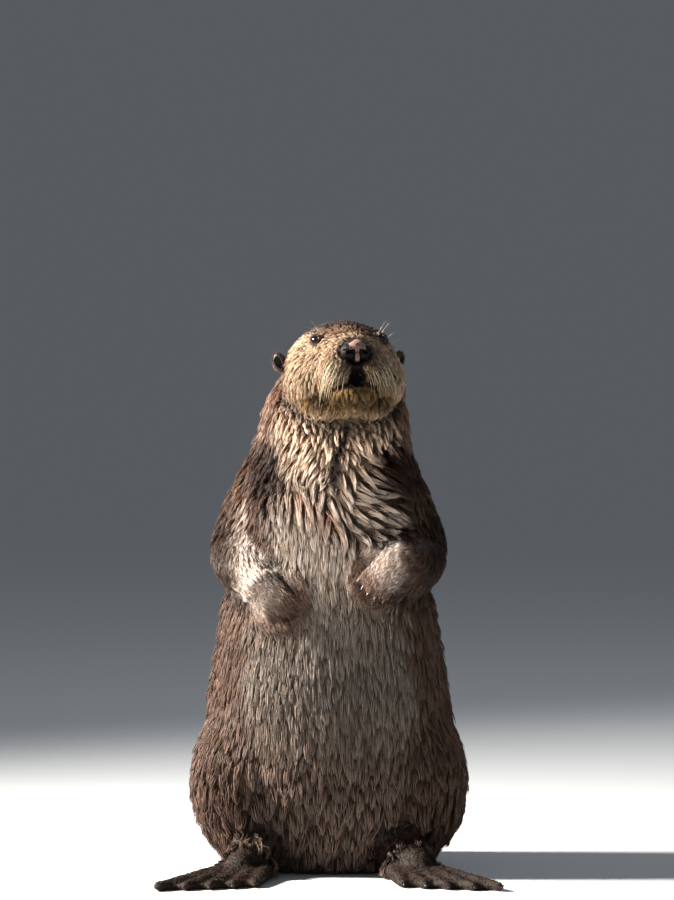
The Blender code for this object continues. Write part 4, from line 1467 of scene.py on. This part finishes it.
# %% [markdown]
# ## Whiskers
# Whiskers grow in rows on the two pads beside the nose. They are stiff and pale, about as long as the
# muzzle is deep, and when wet they hang in a curtain past the lip. A few more stand over each eye. Each
# one is a thin tube of three sides along a bent line, so that it stays solid mesh.

# %% Grow the whiskers
WHISKER_SEED = 5
WHISKER_STEPS = 7
WHISKER_ROWS, WHISKER_COLUMNS = 5, 6
BROW_WHISKERS = 5


def tube_line(bm, line, radii, sides=3):
    """A tapering tube through the points, closed at both ends."""
    rings = []
    for i, (place, radius) in enumerate(zip(line, radii)):
        along = (line[min(i + 1, len(line) - 1)] - line[max(i - 1, 0)]).normalized()
        first = along.orthogonal().normalized()
        second = along.cross(first)
        rings.append([bm.verts.new(place + (first * math.cos(a) + second * math.sin(a)) * radius)
                      for a in turns(sides)])
    join_rings(bm, rings)
    bm.faces.new(reversed(rings[0]))
    bm.faces.new(rings[-1])


def whisker(bm, root, aim, length, droop, radius):
    line, way = [root], aim.normalized()
    for _ in range(WHISKER_STEPS):
        way = (way + Vector(DOWN) * droop / WHISKER_STEPS).normalized()
        line.append(line[-1] + way * length / WHISKER_STEPS)
    tube_line(bm, line, [radius * (1 - 0.75 * i / WHISKER_STEPS) for i in range(len(line))])


def grow_whiskers():
    bm = bmesh.new()
    rng = np.random.default_rng(WHISKER_SEED)
    head_turn = head_frame.to_3x3()
    for sign in (-1, 1):
        for row in range(WHISKER_ROWS):
            for column in range(WHISKER_COLUMNS):
                jitter = rng.normal(0, 1, 4)
                sideways = 0.010 + 0.0045 * column + 0.0008 * jitter[0]
                up = -0.022 - 0.0052 * row - 0.0010 * column + 0.0008 * jitter[1]
                start = head_point(sign * sideways, 0.135 - 0.0016 * column, up)
                root = skin_tree.ray_cast(start, head_turn @ Vector((-sign * 0.2, 1, 0)))[0]
                if root is None or sideways < 0.0105:
                    continue
                aim = head_turn @ Vector((sign * (0.62 + 0.14 * column + 0.07 * jitter[2]), -0.34, -0.50))
                length = 0.022 + 0.0030 * column + 0.0010 * row + 0.004 * jitter[3]
                whisker(bm, root, aim, length, 2.9 + 0.3 * jitter[2], 0.00047)
        for number in range(BROW_WHISKERS):
            jitter = rng.normal(0, 1, 3)
            brow = head_point(sign * (0.037 + 0.0035 * number), 0.070 + 0.004 * jitter[0], 0.060)
            root = skin_tree.ray_cast(brow, head_turn @ Vector((0, 0, -1)))[0]
            if root is None:
                continue
            aim = head_turn @ Vector((sign * (0.35 + 0.10 * number), -0.25 + 0.1 * jitter[1], 0.9))
            whisker(bm, root, aim, 0.019 + 0.003 * jitter[2], 0.8, 0.00020)
    whiskers = from_bmesh(bm, "whiskers")
    whiskers.data.shade_smooth()
    return whiskers


whiskers = grow_whiskers()
whiskers.data.materials.append(rim_finish("pale_whisker", (0.64, 0.54, 0.40), 0.42, 700.0, 0.25))
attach(whiskers, "root")
print("whiskers:", len(whiskers.data.polygons), "faces")

# %% [markdown]
# ## Ears
# The ears are small thick leaves, low on the sides of the head, curled like a shell and almost bare
# inside. A leaf is melted from two swells, and its cup is pushed in from the front. Its back and rim
# carry short tufts. They join the coat's arrays, so that the coat's own writer can make their mesh.

# %% Make the ears
EAR_HALF_LENGTH = 0.0136
EAR_VOXEL = 0.0008
EAR_TUFTS = 520
EAR_BACK = (0.034, 0.022, 0.017)


def ear_frame(sign):
    frame = head_frame @ Matrix.Translation(on_head(sign * EAR_PLACE[0], *EAR_PLACE[1:]))
    return frame @ Matrix.Rotation(sign * 0.40, 4, "Y") @ Matrix.Rotation(0.45, 4, "X")


def make_ear(side):
    """A pointed leaf, melted from two swells, with its cup pushed in from the front."""
    sign, long = SIDES[side], EAR_HALF_LENGTH
    frame = ear_frame(sign)
    bm = bmesh.new()
    add_ellipsoid(bm, (0, 0, -long * 0.12), (long * 0.58, long * 0.54, long * 0.86), frame)
    add_ellipsoid(bm, (0, 0, long * 0.24), (long * 0.40, long * 0.36, long * 0.54), frame)
    ear = melt(bm, f"ear_shell_{side}", EAR_VOXEL, 4)
    across, ahead, up = local_place(ear, frame, long)
    cup = np.hypot((across - 0.16 * sign) / 0.36, (up - 0.02) / 0.62)
    cup = soft(1.0, 0.45, cup) * soft(0.0, 0.2, ahead)
    points, normals = coordinates(ear), point_normals(ear)
    points += np.array(frame.to_3x3() @ Vector((0, 1, 0))) * (cup * long * 0.42)[:, None]
    points += normals * (0.0006 * ripple(points, 0.004, 9.0))[:, None]
    set_coordinates(ear, points)
    store_number(ear.data, "cup", cup)
    ear.data.shade_smooth()
    return ear


def grow_ear_tufts(ear, side):
    """Adds short tufts on the back and rim of an ear to the coat and returns their numbers."""
    def turned(*direction):
        return np.array(ear_frame(SIDES[side]).to_3x3() @ Vector(direction))

    points, normals, count = coordinates(ear), point_normals(ear), EAR_TUFTS
    cup = np.empty(len(points), np.float32)
    ear.data.attributes["cup"].data.foreach_get("value", cup)
    covered = (cup < 0.05) & (normals @ turned(0, -1, 0) < 0.80 - 0.5 * rng.random(len(points)))
    chosen = rng.choice(np.flatnonzero(covered), count, replace=False)
    root, up = points[chosen], normals[chosen]
    way = turned(*Vector((0, 1.2, 0.6)).normalized())
    way = unit(way - up * (up @ way)[:, None] + rng.normal(0, 0.16, (count, 3)))
    length = 0.0028 + 0.0018 * rng.random(count)
    line = root[:, None, :] + way[:, None, :] * (length[:, None] * TIMES)[..., None]
    line = line + up[:, None, :] * (0.0009 * np.sin(np.pi * 0.8 * TIMES))[None, :, None]
    line[:, 0] = root - up * 0.0005
    height = (root - points.mean(0)) @ turned(0, 0, 1)
    first = len(coat["owner"])
    tufts = {"owner": np.full(count, coat["owner"].max() + 1), "width": np.full(count, CUTS["muzzle"][3]),
             "root": root, "centre": line, "up": np.repeat(up[:, None, :], len(TIMES), axis=1),
             "tuft_colour": tint(NAPE, EAR_BACK, soft(-0.006, 0.002, height)), "chart": chart_places(root)}
    for key, rows in tufts.items():
        coat[key] = np.concatenate([coat[key], rows])
    return np.arange(first, first + count)


def ear_finish():
    leaf = Finish("ear_leaf", {"Roughness": 0.55})
    outer, inner = (0.040, 0.026, 0.021, 1), (0.012, 0.008, 0.008, 1)
    leaf.plug({"Base Color": leaf.mixed(leaf.attribute("cup"), outer, inner)})
    leaf.bump(leaf.noise(900.0, 4.0, (1, 1, 0.3)), 0.6, 0.0008)
    return leaf.material


ear_material = ear_finish()
for side in SIDES:
    ear = make_ear(side)
    ear.data.materials.clear()
    ear.data.materials.append(ear_material)
    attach(ear, "root")
    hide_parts(f"ear_{side}")
    coat_piece(f"ear_tufts_{side}", grow_ear_tufts(ear, side), "face_coat", face_finish)
print("ears made")

# %% [markdown]
# ## Claws
# Each finger and toe ends in a short dark claw. They are small bent cones that start inside the finger,
# so that no gap shows, and point where the finger points.

# %% Make the claws
CLAW_LENGTH = 0.0095
FINGERS = 5


def aimed(origin, forward, up):
    """A frame at origin whose -Y looks forward and whose +Z is as near up as can be."""
    back = -Vector(forward).normalized()
    sideways = back.cross(Vector(up)).normalized()
    rotation = Matrix((sideways, back, sideways.cross(back))).transposed()
    return Matrix.Translation(origin) @ rotation.to_4x4()


def finger_tips(side):
    """Tip and direction of the five fingers."""
    frame = aimed(Vector(ARMS[side][-1][:3]), PAW_AIMS[side], (0, -1, 0.35))
    for finger in range(FINGERS):
        share = (finger - 2) / 2
        root = frame @ Vector((share * PAW_HALF_WIDTH * 0.62, -PAW_LENGTH * 0.50, 0.001))
        reach = -PAW_LENGTH * (0.90 - 0.09 * share**2)
        tip = frame @ Vector((share * PAW_HALF_WIDTH * 0.80, reach, -0.003))
        yield tip, (tip - root).normalized()


def toe_tips(side):
    """Tip and direction of the five toes."""
    for toe in range(TOES):
        share = toe / (TOES - 1)
        outward = FLIPPER_TURN + TOE_SPREAD * (2 * share - 1)
        length = FLIPPER_LENGTH * (INNER_TOE + (1 - INNER_TOE) * share)
        aim = Vector((math.sin(outward), -math.cos(outward), 0.0))
        base = Vector((ANKLE.x + (share - 0.5) * INSTEP_WIDTH, ANKLE.y - 0.010, 0))
        tip = base + aim * (length - TOE_RADIUS)
        tip.z = TOE_RADIUS * 0.62
        yield Vector((tip.x * SIDES[side], tip.y, tip.z)), Vector((aim.x * SIDES[side], aim.y, 0))


def make_claws(side, tips, name, radius):
    bm = bmesh.new()
    for tip, aim in tips:
        bend = Vector((0, 0, -0.0012))
        start, end = tip + aim * 0.001, tip + aim * CLAW_LENGTH
        line = [start.lerp(end, t) + bend * t * t for t in (0, 0.25, 0.5, 0.75, 1)]
        tube_line(bm, line, [radius * w for w in (1.0, 0.92, 0.74, 0.48, 0.15)], sides=10)
    for vert in bm.verts:
        vert.co.z = max(vert.co.z, GROUND)
    claws = from_bmesh(bm, f"{name}_{side}")
    claws.data.shade_smooth()
    return claws


claw_material = rim_finish("dark_claw", (0.035, 0.026, 0.020), 0.32, 600.0)
for side in SIDES:
    for name, tips, radius, slot_name in (("finger_claws", finger_tips(side), 0.0021, "paw"),
                                          ("toe_claws", toe_tips(side), 0.0026, "flipper")):
        claws = make_claws(side, tips, name, radius)
        claws.data.materials.append(claw_material)
        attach(claws, "root")
print("claws made")

# %% [markdown]
# The coat must not make the animal bigger than the solids say.
